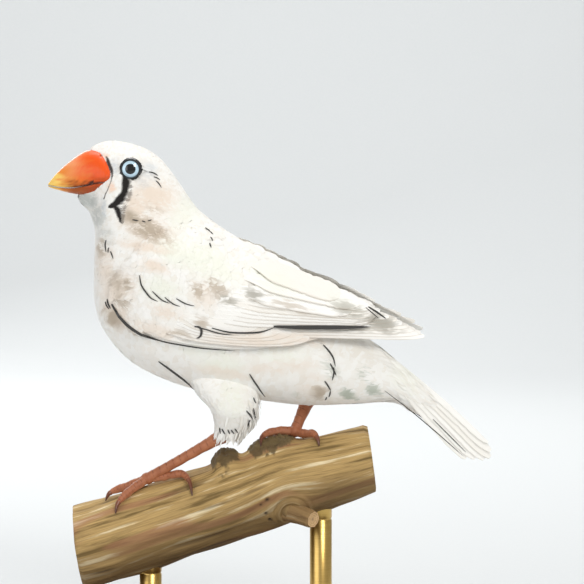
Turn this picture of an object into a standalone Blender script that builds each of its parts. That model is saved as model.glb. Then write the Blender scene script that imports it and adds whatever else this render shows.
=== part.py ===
"""Zebra finch of the white form, life size, standing on a cut length of branch on a small stand.

Frame: +Z up, metres. The bird faces -X and its left side faces -Y. The origin is the centre of the
stand's underside. Tables hold millimetres, and each row is read at one named station of the bird.
"""
import math

import bmesh
import bpy
import numpy as np
from mathutils import Vector

MM = 0.001
GAP = 0.3 * MM
COLLECTION = "zebra_finch"

# Stand, millimetres
BASE_LENGTH = 76.0
BASE_WIDTH = 48.0
BASE_THICK = 5.0
BASE_CORNER = 12.0
ROD_RADIUS = 2.1
ROD_X = {"stand_rod_front": -19.0, "stand_rod_rear": 13.5}

# Branch: where its centre line runs (x, z) and its radius there
PERCH_LINE = np.array([
    (-32.5, 19.3, 7.9),
    (-26.6, 21.1, 7.9),
    (-9.5, 26.6, 7.7),
    (7.6, 32.2, 7.4),
    (16.0, 34.6, 6.8),
    (23.2, 36.6, 6.3),
])
PERCH_RINGS = 26
PERCH_SIDES = 20
# Raised flakes of bark on the top: place along x, spread along x, turn round the branch, height
BARK_FLAKES = ((-2.2, 2.3, 6.0, 2.0), (6.4, 3.9, -4.0, 1.5))
FLAKE_RINGS = (-5.2, -4.1, -2.2, -0.4, 0.7)
TWIG_ROOT = (6.2, -3.6, 27.6)
TWIG_TIP = (12.0, -9.2, 26.2)
TWIG_RADIUS = 1.75

# Head, neck and body. Each station is a slice through the bird: top (x, z), bottom (x, z), half
# width, and how much wider the slice is low down than high up.
BODY_STATIONS = np.array([
    (-29.3, 91.1, -29.3, 91.1, 0.0, 0.00),   # inside the bill
    (-30.3, 94.9, -32.5, 87.3, 0.9, -0.10),  # face, behind the bill
    (-29.3, 96.2, -32.1, 85.3, 1.9, -0.12),  # forehead and chin
    (-26.8, 97.0, -30.6, 83.7, 3.1, -0.10),  # brow
    (-23.9, 96.8, -29.9, 82.0, 4.6, 0.00),   # crown and throat
    (-20.1, 95.7, -29.4, 80.2, 6.5, 0.08),   # ear
    (-17.1, 93.8, -29.4, 77.6, 7.1, 0.09),   # hind crown
    (-14.8, 91.1, -29.5, 74.0, 7.8, 0.08),   # nape
    (-12.5, 87.8, -29.6, 70.0, 8.7, 0.06),   # neck
    (-9.9, 84.2, -29.4, 66.2, 9.9, 0.05),    # top of the breast
    (-6.2, 81.2, -27.9, 61.4, 10.8, 0.05),   # mantle
    (-1.9, 78.4, -23.2, 55.6, 11.6, 0.05),   # deepest breast
    (2.3, 75.7, -16.1, 51.7, 11.8, 0.05),    # back and belly
    (6.7, 72.1, -7.6, 49.1, 11.4, 0.05),
    (12.3, 67.3, 1.5, 47.8, 10.1, 0.05),     # flank
    (18.1, 63.0, 10.4, 46.8, 8.0, 0.05),     # rump
    (22.4, 59.5, 19.0, 47.0, 5.5, 0.00),     # vent
    (25.5, 57.2, 27.0, 47.4, 3.4, 0.00),     # root of the tail
])
RINGS_PER_STATION = 2
HEAD_RINGS_PER_STATION = 3
BODY_SIDES = 24
HEAD_STATION = 7
NECK_STATION = 9

# Bill: x, top z, z of the mouth line, bottom z, half width
BILL_STATIONS = np.array([
    (-38.2, 88.85, 88.55, 88.30, 0.22),
    (-37.5, 89.75, 88.40, 88.00, 0.75),
    (-36.3, 91.10, 88.20, 87.65, 1.35),
    (-33.9, 93.20, 88.05, 87.05, 2.35),
    (-31.2, 94.95, 88.40, 86.60, 3.20),
    (-28.8, 95.20, 88.90, 86.30, 3.85),
    (-27.4, 94.30, 89.00, 86.40, 4.00),
    (-26.1, 92.60, 89.00, 87.40, 3.30),
])
MOUTH_GAP = 0.3
BILL_FULLNESS = 0.8
NOSTRIL = (-29.6, 3.1, 93.3)
NOSTRIL_RADIUS = 0.5

# Eye
EYE = (-22.2, 3.85, 91.55)
EYE_RADIUS = 2.2
SOCKET_GAP = 0.3
LID_RING = 2.32
LID_THICK = 0.4

# Folded wing: upper edge (x, z, half width of the bird there), lower edge (x, z, half width),
# and how far the sheet between them stands out
WING_STATIONS = np.array([
    (-25.1, 71.3, 8.8, -25.5, 66.8, 8.8, 0.5),
    (-19.0, 77.2, 10.5, -20.9, 61.8, 11.0, 1.4),
    (-10.4, 78.9, 8.6, -12.3, 59.1, 12.8, 2.3),
    (-0.9, 76.6, 5.0, -2.3, 58.0, 13.0, 3.3),
    (7.6, 72.8, 2.9, 6.7, 58.6, 11.9, 2.6),
    (16.1, 68.8, 1.9, 16.1, 60.3, 9.0, 1.15),
    (26.2, 63.5, 1.6, 26.2, 60.0, 5.2, 0.3),
    (32.5, 60.1, 1.8, 32.9, 59.5, 2.6, 0.0),
])
WING_THICK = 1.7
WING_CORE_END = 0.88
WING_REACH = 58.0
FAR_WING_LIFT = 1.3
FAR_WING_FROM = -6.0

# Feathers: places along a blade and its breadth there, for long and for short ones, the thickness
# of a free blade, how deep its root is sunk, and how deep the part over the core reaches into it
LONG_VANE = ((0.0, 0.35), (0.14, 0.72), (0.36, 0.98), (0.62, 1.0), (0.86, 0.78), (1.0, 0.22))
SHORT_VANE = ((0.0, 0.5), (0.25, 0.9), (0.6, 1.0), (0.86, 0.74), (1.0, 0.2))
VANE_THICK = 0.6
VANE_ROOT_SUNK = 0.9
VANE_BURIED = 0.6
VANE_FREE_FROM = 17.0
# Tiers of the wing, lowest first. Each: blade, count, line of roots (x, z), line of tips (x, z),
# widths, lifts off the sheet, roof-tile tilt, and bend downwards, from first to last feather
WING_TIERS = {
    "primary": (
        LONG_VANE, 7, ((-15.0, 61.2), (-10.0, 65.0)),
        ((32.9, 59.7), (29.0, 60.9), (24.6, 61.9), (19.6, 62.3)),
        (2.9, 2.9), (0.05, 0.42), 0.16, 1.0,
    ),
    "secondary": (
        LONG_VANE, 6, ((-13.0, 63.6), (-8.0, 69.0)),
        ((9.0, 61.6), (13.5, 62.4), (17.5, 63.2), (21.4, 64.1)),
        (3.0, 3.4), (0.42, 0.62), 0.16, 0.9,
    ),
    "tertial": (
        LONG_VANE, 3, ((-6.5, 70.0), (-1.5, 73.6)),
        ((14.6, 65.3), (19.0, 66.0), (23.4, 65.0)),
        (4.2, 4.4), (0.70, 0.80), 0.14, 0.5,
    ),
    "greater_covert": (
        SHORT_VANE, 7, ((-19.0, 63.0), (-8.5, 74.0)),
        ((-7.5, 60.4), (-2.6, 62.6), (0.4, 66.0), (1.6, 69.6)),
        (3.2, 3.6), (0.50, 0.85), 0.15, 0.3,
    ),
    "median_covert": (
        SHORT_VANE, 5, ((-22.0, 66.0), (-13.0, 76.0)),
        ((-14.0, 62.2), (-10.2, 65.2), (-7.4, 69.2), (-6.0, 73.4)),
        (3.2, 3.6), (0.60, 0.85), 0.15, 0.2,
    ),
    "scapular": (
        SHORT_VANE, 4, ((-8.0, 74.4), (-3.0, 76.6)),
        ((0.6, 68.4), (6.0, 69.2), (10.5, 70.6)),
        (3.6, 3.4), (1.00, 0.90), 0.12, 0.4,
    ),
}
WING_SEEDS = {-1: 11, 1: 23}

# Tail: ridge line (x, z) with the half width and the drop of the sides at each station
TAIL_STATIONS = np.array([
    (24.8, 57.3, 2.8, 3.2),
    (34.0, 49.9, 4.2, 5.0),
    (40.0, 44.6, 4.6, 4.8),
    (46.2, 38.6, 4.8, 4.4),
])
TAIL_FEATHERS = 6
TAIL_VANE_SPREAD = 0.27
TAIL_VANE_STEP = 0.12
TAIL_SEED = 5
TAIL_CORE = np.array([
    (25.5, 57.2, 27.0, 47.4, 3.4, 0.0),
    (29.5, 53.6, 30.8, 45.6, 3.0, 0.0),
    (33.5, 50.0, 34.0, 44.6, 2.2, 0.0),
    (36.5, 47.2, 36.6, 44.6, 1.0, 0.0),
])

# Feathered thighs: centre (x, side, z), radius along the bird, radius across it
THIGH_STATIONS = {
    "left": np.array([
        (-7.2, 5.5, 55.6, 6.4, 4.6),
        (-4.4, 6.3, 50.2, 6.1, 4.3),
        (-2.9, 6.2, 46.6, 4.5, 3.6),
        (-2.8, 5.6, 44.2, 3.8, 3.0),
        (-3.5, 4.9, 42.4, 3.0, 2.4),
    ]),
    "right": np.array([
        (0.5, 5.5, 55.0, 6.0, 4.6),
        (5.6, 6.3, 51.5, 4.6, 4.2),
        (8.8, 6.2, 49.2, 3.2, 3.2),
        (10.2, 5.6, 48.0, 2.4, 2.5),
        (10.9, 5.1, 47.1, 1.9, 1.9),
    ]),
}
ANKLE = {"left": (-3.4, 4.8, 42.4), "right": (10.9, 5.0, 46.9)}
SHANK_RADII = {"left": (1.75, 1.08, 0.92, 1.0), "right": (1.6, 1.2, 1.0, 1.05)}

# Feet: where the foot stands on the branch (x of the branch's centre, turn round it in degrees)
FOOT = {"left": (-16.6, 13.0), "right": (10.9, -13.0)}
FOOT_LIFT = 1.35
TOE_RADIUS = 0.8
# Toes: steps along the branch and turns round it, counted from the foot, ending at the claw's tip
TOES = {
    "left": {
        "middle": ((-2.2, -5), (-4.4, -8), (-6.2, -9), (-7.6, -5), (-8.4, 5)),
        "outer": ((-1.7, 6), (-3.4, 12), (-4.9, 19), (-6.2, 28), (-6.9, 38)),
        "inner": ((-1.6, -14), (-3.4, -30), (-5.0, -44), (-6.2, -57), (-6.9, -68)),
        "hind": ((2.2, 1), (4.4, 3), (6.4, 9), (7.3, 28), (7.2, 47)),
    },
    "right": {
        "middle": ((-1.8, -6), (-3.6, -18), (-5.0, -33), (-6.1, -48), (-6.6, -60)),
        "outer": ((-1.0, -16), (-2.2, -34), (-3.2, -52), (-4.0, -68), (-4.4, -80)),
        "inner": ((-1.8, 3), (-3.2, 6), (-4.6, 11), (-5.7, 20), (-6.2, 30)),
        "hind": ((1.2, 7), (2.3, 17), (3.2, 29), (3.7, 42), (3.7, 53)),
    },
}

COLOURS = {
    "plumage": ((0.86, 0.83, 0.78), 0.85, 0.0),
    "bill": ((0.85, 0.22, 0.04), 0.35, 0.0),
    "eye": ((0.02, 0.02, 0.02), 0.08, 0.0),
    "leg": ((0.42, 0.13, 0.06), 0.5, 0.0),
    "bark": ((0.36, 0.24, 0.12), 0.85, 0.0),
    "base_wood": ((0.10, 0.055, 0.03), 0.35, 0.0),
    "rod_brass": ((0.62, 0.45, 0.20), 0.28, 1.0),
}


def clear_scene():
    """Removes what the startup file holds."""
    for obj in list(bpy.data.objects):
        bpy.data.objects.remove(obj)


def new_collection(name):
    made = bpy.data.collections.new(name)
    bpy.context.scene.collection.children.link(made)
    return made


def material(slot):
    """A Principled material with the slot's colour, made once."""
    found = bpy.data.materials.get(slot)
    if found:
        return found
    colour, roughness, metallic = COLOURS[slot]
    made = bpy.data.materials.new(slot)
    made.use_nodes = True
    shader = made.node_tree.nodes["Principled BSDF"]
    shader.inputs["Base Color"].default_value = (*colour, 1.0)
    shader.inputs["Roughness"].default_value = roughness
    shader.inputs["Metallic"].default_value = metallic
    return made


def smooth_rows(rows, steps):
    """Catmull-Rom curve through the rows of a table, read at the given places (row numbers)."""
    last = len(rows) - 1
    steps = np.clip(np.asarray(steps, float), 0.0, last)
    span = np.clip(np.floor(steps).astype(int), 0, last - 1)
    t = (steps - span)[:, None]

    def row(index):
        return rows[np.clip(index, 0, last)]

    before, start, end, after = row(span - 1), row(span), row(span + 1), row(span + 2)
    return 0.5 * (
        2 * start
        + (end - before) * t
        + (2 * before - 5 * start + 4 * end - after) * t**2
        + (3 * start - before - 3 * end + after) * t**3
    )


def add_mesh(name, points, faces, collection):
    """An object from points in millimetres, with its faces made to point outwards."""
    mesh = bpy.data.meshes.new(name)
    mesh.from_pydata([tuple(p) for p in np.asarray(points) * MM], [], faces)
    shape = bmesh.new()
    shape.from_mesh(mesh)
    bmesh.ops.remove_doubles(shape, verts=shape.verts, dist=1e-6)
    bmesh.ops.recalc_face_normals(shape, faces=shape.faces)
    if shape.calc_volume(signed=True) < 0:
        bmesh.ops.reverse_faces(shape, faces=shape.faces)
    shape.to_mesh(mesh)
    shape.free()
    obj = bpy.data.objects.new(name, mesh)
    collection.objects.link(obj)
    return obj


def ring_loft(name, rings, collection):
    """A closed skin over rings of equal point count, with flat ends."""
    count, sides = len(rings), len(rings[0])
    faces = []
    for i in range(count - 1):
        for j in range(sides):
            k = (j + 1) % sides
            faces.append((i * sides + j, i * sides + k, (i + 1) * sides + k, (i + 1) * sides + j))
    faces.append(tuple(range(sides)))
    faces.append(tuple((count - 1) * sides + j for j in range(sides)))
    return add_mesh(name, np.concatenate(rings), faces, collection)


def slice_ring(row, sides):
    """One slice of the body: cosine along its height, sine across, wider low down by the last value."""
    top, bottom, half, low = row[0:2], row[2:4], row[4], row[5]
    turn = np.linspace(0, 2 * math.pi, sides, endpoint=False)
    centre, rise = (top + bottom) / 2, (top - bottom) / 2
    across = half * np.sin(turn) * (1 - low * np.cos(turn))
    return np.stack([
        centre[0] + rise[0] * np.cos(turn),
        across,
        centre[1] + rise[1] * np.cos(turn),
    ], axis=1)


def body_loft(name, stations, first, last, collection, sides=BODY_SIDES, dense=RINGS_PER_STATION):
    """The body between two stations of a table, as one closed loft."""
    steps = np.linspace(first, last, int(round((last - first) * dense)) + 1)
    rows = smooth_rows(stations, steps)
    rows[:, 4] = np.maximum(rows[:, 4], 0.05)
    return ring_loft(name, [slice_ring(row, sides) for row in rows], collection)


def body_side(x, z):
    """Half width of the body over a place (x, z) of the side view, found by halving."""
    low, high = 0.0, len(BODY_STATIONS) - 1.0
    for _ in range(40):
        step = (low + high) / 2
        row = smooth_rows(BODY_STATIONS, [step])[0]
        line, reach = row[0:2] - row[2:4], np.array([x, z]) - row[2:4]
        ahead = line[0] * reach[1] - line[1] * reach[0] > 0
        low, high = (low, step) if ahead else (step, high)
    share = np.clip(2 * np.dot(reach, line) / np.dot(line, line) - 1, -1, 1)
    return row[4] * math.sqrt(1 - share**2) * (1 - row[5] * share)


def evaluated_copy(obj, name, collection):
    """A plain mesh object with the source's modifiers applied, in world space."""
    graph = bpy.context.evaluated_depsgraph_get()
    mesh = bpy.data.meshes.new_from_object(obj.evaluated_get(graph))
    mesh.transform(obj.matrix_world)
    made = bpy.data.objects.new(name, mesh)
    collection.objects.link(made)
    return made


def swollen(obj, grow, collection):
    """A cutter: the object's surface moved outwards by grow."""
    made = evaluated_copy(obj, obj.name + "_cutter", collection)
    shape = bmesh.new()
    shape.from_mesh(made.data)
    shape.normal_update()
    moved = [v.co + v.normal * v.calc_shell_factor() * grow for v in shape.verts]
    for vertex, place in zip(shape.verts, moved):
        vertex.co = place
    shape.to_mesh(made.data)
    shape.free()
    made.hide_render = True
    made.display_type = "WIRE"
    return made


def keep_largest(obj):
    """Keeps only the largest closed surface of a mesh, and gives it plain triangles."""
    shape = bmesh.new()
    shape.from_mesh(obj.data)
    bmesh.ops.remove_doubles(shape, verts=shape.verts, dist=2e-7)
    unseen = set(shape.faces)
    pieces = []
    while unseen:
        seed = unseen.pop()
        piece, queue = [seed], [seed]
        while queue:
            for edge in queue.pop().edges:
                for face in edge.link_faces:
                    if face in unseen:
                        unseen.remove(face)
                        piece.append(face)
                        queue.append(face)
        pieces.append(piece)

    def size_of(piece):
        return sum(face.calc_area() for face in piece)

    best = max(pieces, key=size_of)
    loose = [face for piece in pieces if piece is not best for face in piece]
    if loose:
        bmesh.ops.delete(shape, geom=loose, context="FACES")
        bare = [v for v in shape.verts if not v.link_faces]
        bmesh.ops.delete(shape, geom=bare, context="VERTS")
    bmesh.ops.triangulate(shape, faces=shape.faces)
    shape.to_mesh(obj.data)
    shape.free()


def boolean(obj, others, operation, solver="EXACT"):
    """Joins or cuts with a list of mesh objects at once, and applies the result."""
    group = bpy.data.collections.new(obj.name + "_group")
    for other in others:
        group.objects.link(other)
    bpy.context.scene.collection.children.link(group)
    modifier = obj.modifiers.new("join", "BOOLEAN")
    modifier.operation = operation
    modifier.operand_type = "COLLECTION"
    modifier.collection = group
    modifier.solver = solver
    if solver == "EXACT" and operation == "UNION":
        modifier.use_self = False
    bpy.context.view_layer.update()
    graph = bpy.context.evaluated_depsgraph_get()
    mesh = bpy.data.meshes.new_from_object(obj.evaluated_get(graph))
    obj.modifiers.remove(modifier)
    obj.data = mesh
    bpy.data.collections.remove(group)
    keep_largest(obj)


def remove(objects):
    for obj in objects:
        bpy.data.objects.remove(obj)


def sphere(name, centre, radius, collection, sides=16, rings=10):
    """A round solid from Blender's own sphere."""
    mesh = bpy.data.meshes.new(name)
    shape = bmesh.new()
    bmesh.ops.create_uvsphere(shape, u_segments=sides, v_segments=rings, radius=radius * MM)
    bmesh.ops.translate(shape, verts=shape.verts, vec=Vector(centre) * MM)
    shape.to_mesh(mesh)
    shape.free()
    obj = bpy.data.objects.new(name, mesh)
    collection.objects.link(obj)
    return obj


def tube(name, points, radii, collection, resolution=2, closed=False):
    """A round tube along points, from a curve with filled caps, welded to one closed mesh."""
    curve = bpy.data.curves.new(name, "CURVE")
    curve.dimensions = "3D"
    curve.bevel_depth = 1.0 * MM
    curve.bevel_resolution = resolution
    curve.use_fill_caps = not closed
    spline = curve.splines.new("POLY")
    spline.use_cyclic_u = closed
    spline.points.add(len(points) - 1)
    for place, point, radius in zip(spline.points, points, radii):
        place.co = (*(Vector(point) * MM), 1.0)
        place.radius = radius
    drawn = bpy.data.objects.new(name + "_curve", curve)
    collection.objects.link(drawn)
    bpy.context.view_layer.update()
    made = evaluated_copy(drawn, name, collection)
    bpy.data.objects.remove(drawn)
    shape = bmesh.new()
    shape.from_mesh(made.data)
    bmesh.ops.remove_doubles(shape, verts=shape.verts, dist=1e-6)
    bmesh.ops.recalc_face_normals(shape, faces=shape.faces)
    shape.to_mesh(made.data)
    shape.free()
    return made


def finish_node(obj, slot, collection):
    """Gives a node its material and rounded shading, and moves it to the model's collection."""
    obj.data.materials.clear()
    obj.data.materials.append(material(slot))
    obj.data.shade_smooth()
    obj.data.set_sharp_from_angle(angle=math.radians(40))
    if obj.name not in collection.objects:
        collection.objects.link(obj)
    for other in list(obj.users_collection):
        if other is not collection:
            other.objects.unlink(obj)


def perch_centre(x):
    """Centre (x, z) and radius of the branch where its centre line passes x."""
    line = smooth_rows(PERCH_LINE, np.linspace(0, len(PERCH_LINE) - 1, 200))
    return np.array([x, np.interp(x, line[:, 0], line[:, 1]), np.interp(x, line[:, 0], line[:, 2])])


def perch_slope(x):
    ahead, behind = perch_centre(x + 1.0), perch_centre(x - 1.0)
    return math.atan2(ahead[1] - behind[1], ahead[0] - behind[0])


def bark_height(x, turn):
    """How far the bark stands out at x and at an angle from the top, towards the near side."""
    ridges = 0.16 * math.sin(5 * turn + 0.35 * x) + 0.12 * math.sin(9 * turn - 0.22 * x + 1.3)
    flakes = 0.0
    for place, spread, side, height in BARK_FLAKES:
        along = (x - place) / spread
        round_it = (turn - math.radians(side)) / 0.55
        flakes += height * math.exp(-along**4) * math.exp(-round_it**2)
    return ridges + flakes


def perch_point(x, turn, lift=0.0):
    """A point on the branch's skin: turn 0 is its top, and a positive turn goes to the near side."""
    centre = perch_centre(x)
    slope = perch_slope(x)
    reach = centre[2] + bark_height(x, turn) + lift
    up, near = reach * math.cos(turn), reach * math.sin(turn)
    return np.array([x - up * math.sin(slope), -near, centre[1] + up * math.cos(slope)])


def make_perch(work, model):
    even = np.linspace(PERCH_LINE[0, 0], PERCH_LINE[-1, 0], PERCH_RINGS)
    apart = [x for x in even if min(abs(x - ring) for ring in FLAKE_RINGS) > 0.5]
    xs = np.sort(np.concatenate([apart, FLAKE_RINGS]))
    turns = np.linspace(0, 2 * math.pi, PERCH_SIDES, endpoint=False)
    turns = np.where(turns > math.pi, turns - 2 * math.pi, turns)
    rings = [np.array([perch_point(x, turn) for turn in turns]) for x in xs]
    perch = ring_loft("perch_branch", rings, work)
    root, tip = np.array(TWIG_ROOT), np.array(TWIG_TIP)
    along = [root + (tip - root) * share for share in (0.0, 0.3, 0.6, 1.0)]
    swelling = (1.7, 1.25, 1.0, 0.95)
    twig = tube("twig", along, [TWIG_RADIUS * s for s in swelling], work, resolution=3)
    boolean(perch, [twig], "UNION")
    remove([twig])
    finish_node(perch, "bark", model)
    return perch


def make_stand(perch, work, model):
    """A rounded wooden plate, with two rods whose tops are hollowed to the branch."""
    outline = bpy.data.curves.new("stand_outline", "CURVE")
    outline.dimensions = "2D"
    outline.fill_mode = "BOTH"
    outline.extrude = (BASE_THICK / 2 - 0.6) * MM
    outline.bevel_depth = 0.6 * MM
    outline.bevel_resolution = 1
    spline = outline.splines.new("POLY")
    half_x, half_y = BASE_LENGTH / 2 - 0.6, BASE_WIDTH / 2 - 0.6
    places = []
    for quarter in range(4):
        for turn in np.linspace(quarter * math.pi / 2, (quarter + 1) * math.pi / 2, 7):
            sign_x = 1 if quarter in (0, 3) else -1
            sign_y = 1 if quarter in (0, 1) else -1
            radius = BASE_CORNER - 0.6
            places.append((
                sign_x * (half_x - radius) + radius * math.cos(turn),
                sign_y * (half_y - radius) + radius * math.sin(turn),
            ))
    spline.points.add(len(places) - 1)
    for point, place in zip(spline.points, places):
        point.co = (place[0] * MM, place[1] * MM, 0.0, 1.0)
    spline.use_cyclic_u = True
    drawn = bpy.data.objects.new("stand_drawn", outline)
    drawn.location = (0, 0, BASE_THICK / 2 * MM)
    work.objects.link(drawn)
    bpy.context.view_layer.update()
    base = evaluated_copy(drawn, "stand_base", work)
    bpy.data.objects.remove(drawn)
    shape = bmesh.new()
    shape.from_mesh(base.data)
    bmesh.ops.remove_doubles(shape, verts=shape.verts, dist=1e-6)
    bmesh.ops.recalc_face_normals(shape, faces=shape.faces)
    shape.to_mesh(base.data)
    shape.free()
    finish_node(base, "base_wood", model)

    cutter = swollen(perch, GAP, work)
    for name, x in ROD_X.items():
        top = perch_centre(x)[1]
        low = BASE_THICK + 0.3
        mesh = bpy.data.meshes.new(name)
        shape = bmesh.new()
        bmesh.ops.create_cone(
            shape, cap_ends=True, segments=20, radius1=ROD_RADIUS * MM,
            radius2=ROD_RADIUS * MM, depth=(top - low) * MM,
        )
        bmesh.ops.translate(shape, verts=shape.verts, vec=Vector((x, 0, (top + low) / 2)) * MM)
        shape.to_mesh(mesh)
        shape.free()
        rod = bpy.data.objects.new(name, mesh)
        work.objects.link(rod)
        boolean(rod, [cutter], "DIFFERENCE")
        finish_node(rod, "rod_brass", model)
    remove([cutter])


def full(sine):
    """Makes an oval fuller at its sides."""
    return np.sign(sine) * np.abs(sine) ** BILL_FULLNESS


def bill_ring(row, part, sides=16):
    """One upright slice of the bill: a full-sided oval, cut off at the mouth line."""
    x, top, mouth, bottom, half = row
    if part == "whole":
        turn = np.linspace(0, 2 * math.pi, sides, endpoint=False)
        centre, rise = (top + bottom) / 2, (top - bottom) / 2
        return np.stack([np.full(sides, x), half * full(np.sin(turn)), centre + rise * np.cos(turn)], 1)
    centre, rise = (top + bottom) / 2, (top - bottom) / 2
    sign = 1 if part == "upper" else -1
    edge = mouth + sign * MOUTH_GAP / 2
    start = math.acos(np.clip((edge - centre) / rise, -0.95, 0.95))
    if part == "upper":
        turn = np.linspace(-start, start, sides)
    else:
        turn = np.linspace(start, 2 * math.pi - start, sides)
    side, height = half * full(np.sin(turn)), centre + rise * np.cos(turn)
    height[0] = height[-1] = edge
    return np.stack([np.full(sides, x), side, height], 1)


def make_bill(work, model):
    """Upper and lower halves, each a loft, and one whole cone as the cutter for the face."""
    steps = np.linspace(0, len(BILL_STATIONS) - 1, 15)
    rows = smooth_rows(BILL_STATIONS, steps)
    cone = ring_loft("bill_cone", [bill_ring(row, "whole") for row in rows], work)
    socket = swollen(cone, GAP, work)
    upper = ring_loft("bill_upper", [bill_ring(row, "upper") for row in rows], work)
    lower = ring_loft("bill_lower", [bill_ring(row, "lower") for row in rows], work)
    pits = [
        sphere("nostril", (NOSTRIL[0], side * NOSTRIL[1], NOSTRIL[2]), NOSTRIL_RADIUS, work, 10, 6)
        for side in (-1, 1)
    ]
    boolean(upper, pits, "DIFFERENCE")
    remove([cone, *pits])
    finish_node(upper, "bill", model)
    finish_node(lower, "bill", model)
    return socket


def make_head(socket, work, model):
    """The head from its loft, with raised lids, hollowed for the eyes and the bill."""
    head = body_loft(
        "head", BODY_STATIONS, 0, HEAD_STATION - 0.02, work, dense=HEAD_RINGS_PER_STATION,
    )
    lids = []
    for side in (-1, 1):
        ring = []
        for turn in np.linspace(0, 2 * math.pi, 20, endpoint=False):
            x, z = EYE[0] + LID_RING * math.cos(turn), EYE[2] + LID_RING * math.sin(turn)
            ring.append((x, side * body_side(x, z), z))
        lids.append(tube("lid", ring, [LID_THICK] * len(ring), work, resolution=1, closed=True))
    boolean(head, lids, "UNION")
    eyes = [
        sphere("socket", (EYE[0], side * EYE[1], EYE[2]), EYE_RADIUS + SOCKET_GAP, work)
        for side in (-1, 1)
    ]
    boolean(head, [socket, *eyes], "DIFFERENCE")
    remove([*lids, *eyes, socket])
    finish_node(head, "plumage", model)
    for side, name in ((-1, "eye_left"), (1, "eye_right")):
        eye = sphere(name, (EYE[0], side * EYE[1], EYE[2]), EYE_RADIUS, work)
        finish_node(eye, "eye", model)


def make_body(work, model):
    """Neck and torso, and the cutter that wings and thighs are hollowed with."""
    neck = body_loft("neck", BODY_STATIONS, HEAD_STATION + 0.02, NECK_STATION - 0.02, work)
    torso = body_loft("torso", BODY_STATIONS, NECK_STATION + 0.02, len(BODY_STATIONS) - 1, work)
    whole = body_loft("whole_body", BODY_STATIONS, 0, len(BODY_STATIONS) - 1, work)
    cutter = swollen(whole, GAP, work)
    remove([whole])
    finish_node(neck, "plumage", model)
    finish_node(torso, "plumage", model)
    return cutter


def wing_sheet(along, across):
    """The folded wing's outer sheet, with (x, half width, z) for along 0 to 1 and across 0 to 1."""
    row = smooth_rows(WING_STATIONS, np.atleast_1d(along) * (len(WING_STATIONS) - 1)).T
    bulge = 4 * row[6] * across * (1 - across)
    x, side, z = (row[k] + (row[k + 3] - row[k]) * across for k in (0, 2, 1))
    return np.stack([x, side + bulge, z], axis=-1)


def wing_side(x, z):
    """The sheet's half width over a place (x, z) of the side view, by a few corrected guesses."""
    along = np.interp(x, WING_STATIONS[:, 3], np.linspace(0, 1, len(WING_STATIONS)))
    for _ in range(5):
        row = smooth_rows(WING_STATIONS, np.atleast_1d(along) * (len(WING_STATIONS) - 1))[0]
        across = np.clip((z - row[1]) / (row[4] - row[1]), -0.1, 1.1)
        off = x - (row[0] + (row[3] - row[0]) * across)
        along = np.clip(along + off / WING_REACH, 0.0, 1.0)
    return wing_sheet(along, across)[0][1]


def to_wing(point, side):
    """Mirrors a point to its wing, and lifts the far wing's rear half a little."""
    x, half, z = point
    rear = np.clip((x - FAR_WING_FROM) / (WING_STATIONS[-1, 0] - FAR_WING_FROM), 0, 1)
    return (x, side * half, z + (FAR_WING_LIFT * rear if side > 0 else 0.0))


def wing_core(name, side, work):
    """The flesh and hidden quills of the folded wing, thinner from the shoulder to the tip."""
    rings = []
    across = np.linspace(0, 1, 9)
    for along in np.linspace(0.0, WING_CORE_END, 13):
        thick = WING_THICK * (1 - 0.62 * along) * min(1.0, 0.35 + 5 * along)
        outer = wing_sheet(np.full(9, along), across)
        inner = outer - np.array([0, thick, 0])
        ring = np.concatenate([outer, inner[::-1]])
        rings.append(np.array([to_wing(point, side) for point in ring]))
    return ring_loft(name, rings, work)


def vane(name, rows, collection):
    """A feather's blade from rows of six points: three on its outer face, three on its inner."""
    faces = []
    for i in range(len(rows) - 1):
        for j in range(6):
            k = (j + 1) % 6
            a, b, c, d = i * 6 + j, i * 6 + k, (i + 1) * 6 + k, (i + 1) * 6 + j
            alike = j in (0, 1, 2)
            faces += [(a, b, c), (a, c, d)] if alike else [(a, b, d), (b, c, d)]
    for start, turned in ((0, 1), ((len(rows) - 1) * 6, -1)):
        cap = [(0, 1, 5), (1, 4, 5), (1, 2, 4), (2, 3, 4)]
        faces += [tuple(start + n for n in tri[::turned]) for tri in cap]
    return add_mesh(name, np.concatenate(rows), faces, collection)


def wing_vane(name, blade, root, tip, width, lift, tilt, bend, side, work):
    """One feather of the wing, laid on the sheet with its root sunk in the core."""
    root, tip = np.array(root), np.array(tip)
    length = np.linalg.norm(tip - root)
    across = np.array([tip[1] - root[1], root[0] - tip[0]]) / length
    rows = []
    for share, spread in blade:
        middle = root + (tip - root) * share + across * bend * 4 * share * (1 - share)
        sunk = VANE_ROOT_SUNK * max(0.0, 1 - share / 0.3) ** 2
        thick = VANE_THICK * (1 - 0.4 * max(0.0, share - 0.7) / 0.3)
        if middle[0] < VANE_FREE_FROM:
            thick = lift + VANE_BURIED
        points = []
        for edge in (-1, 0, 1, 1, 0, -1):
            x, z = middle + across * edge * spread * width / 2
            high = lift + tilt * edge * spread * width / 2 + (0.1 if edge == 0 else 0.0) - sunk
            high -= thick if len(points) > 2 else 0.0
            points.append(to_wing((x, wing_side(x, z) + high, z), side))
        rows.append(np.array(points))
    return vane(name, rows, work)


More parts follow.
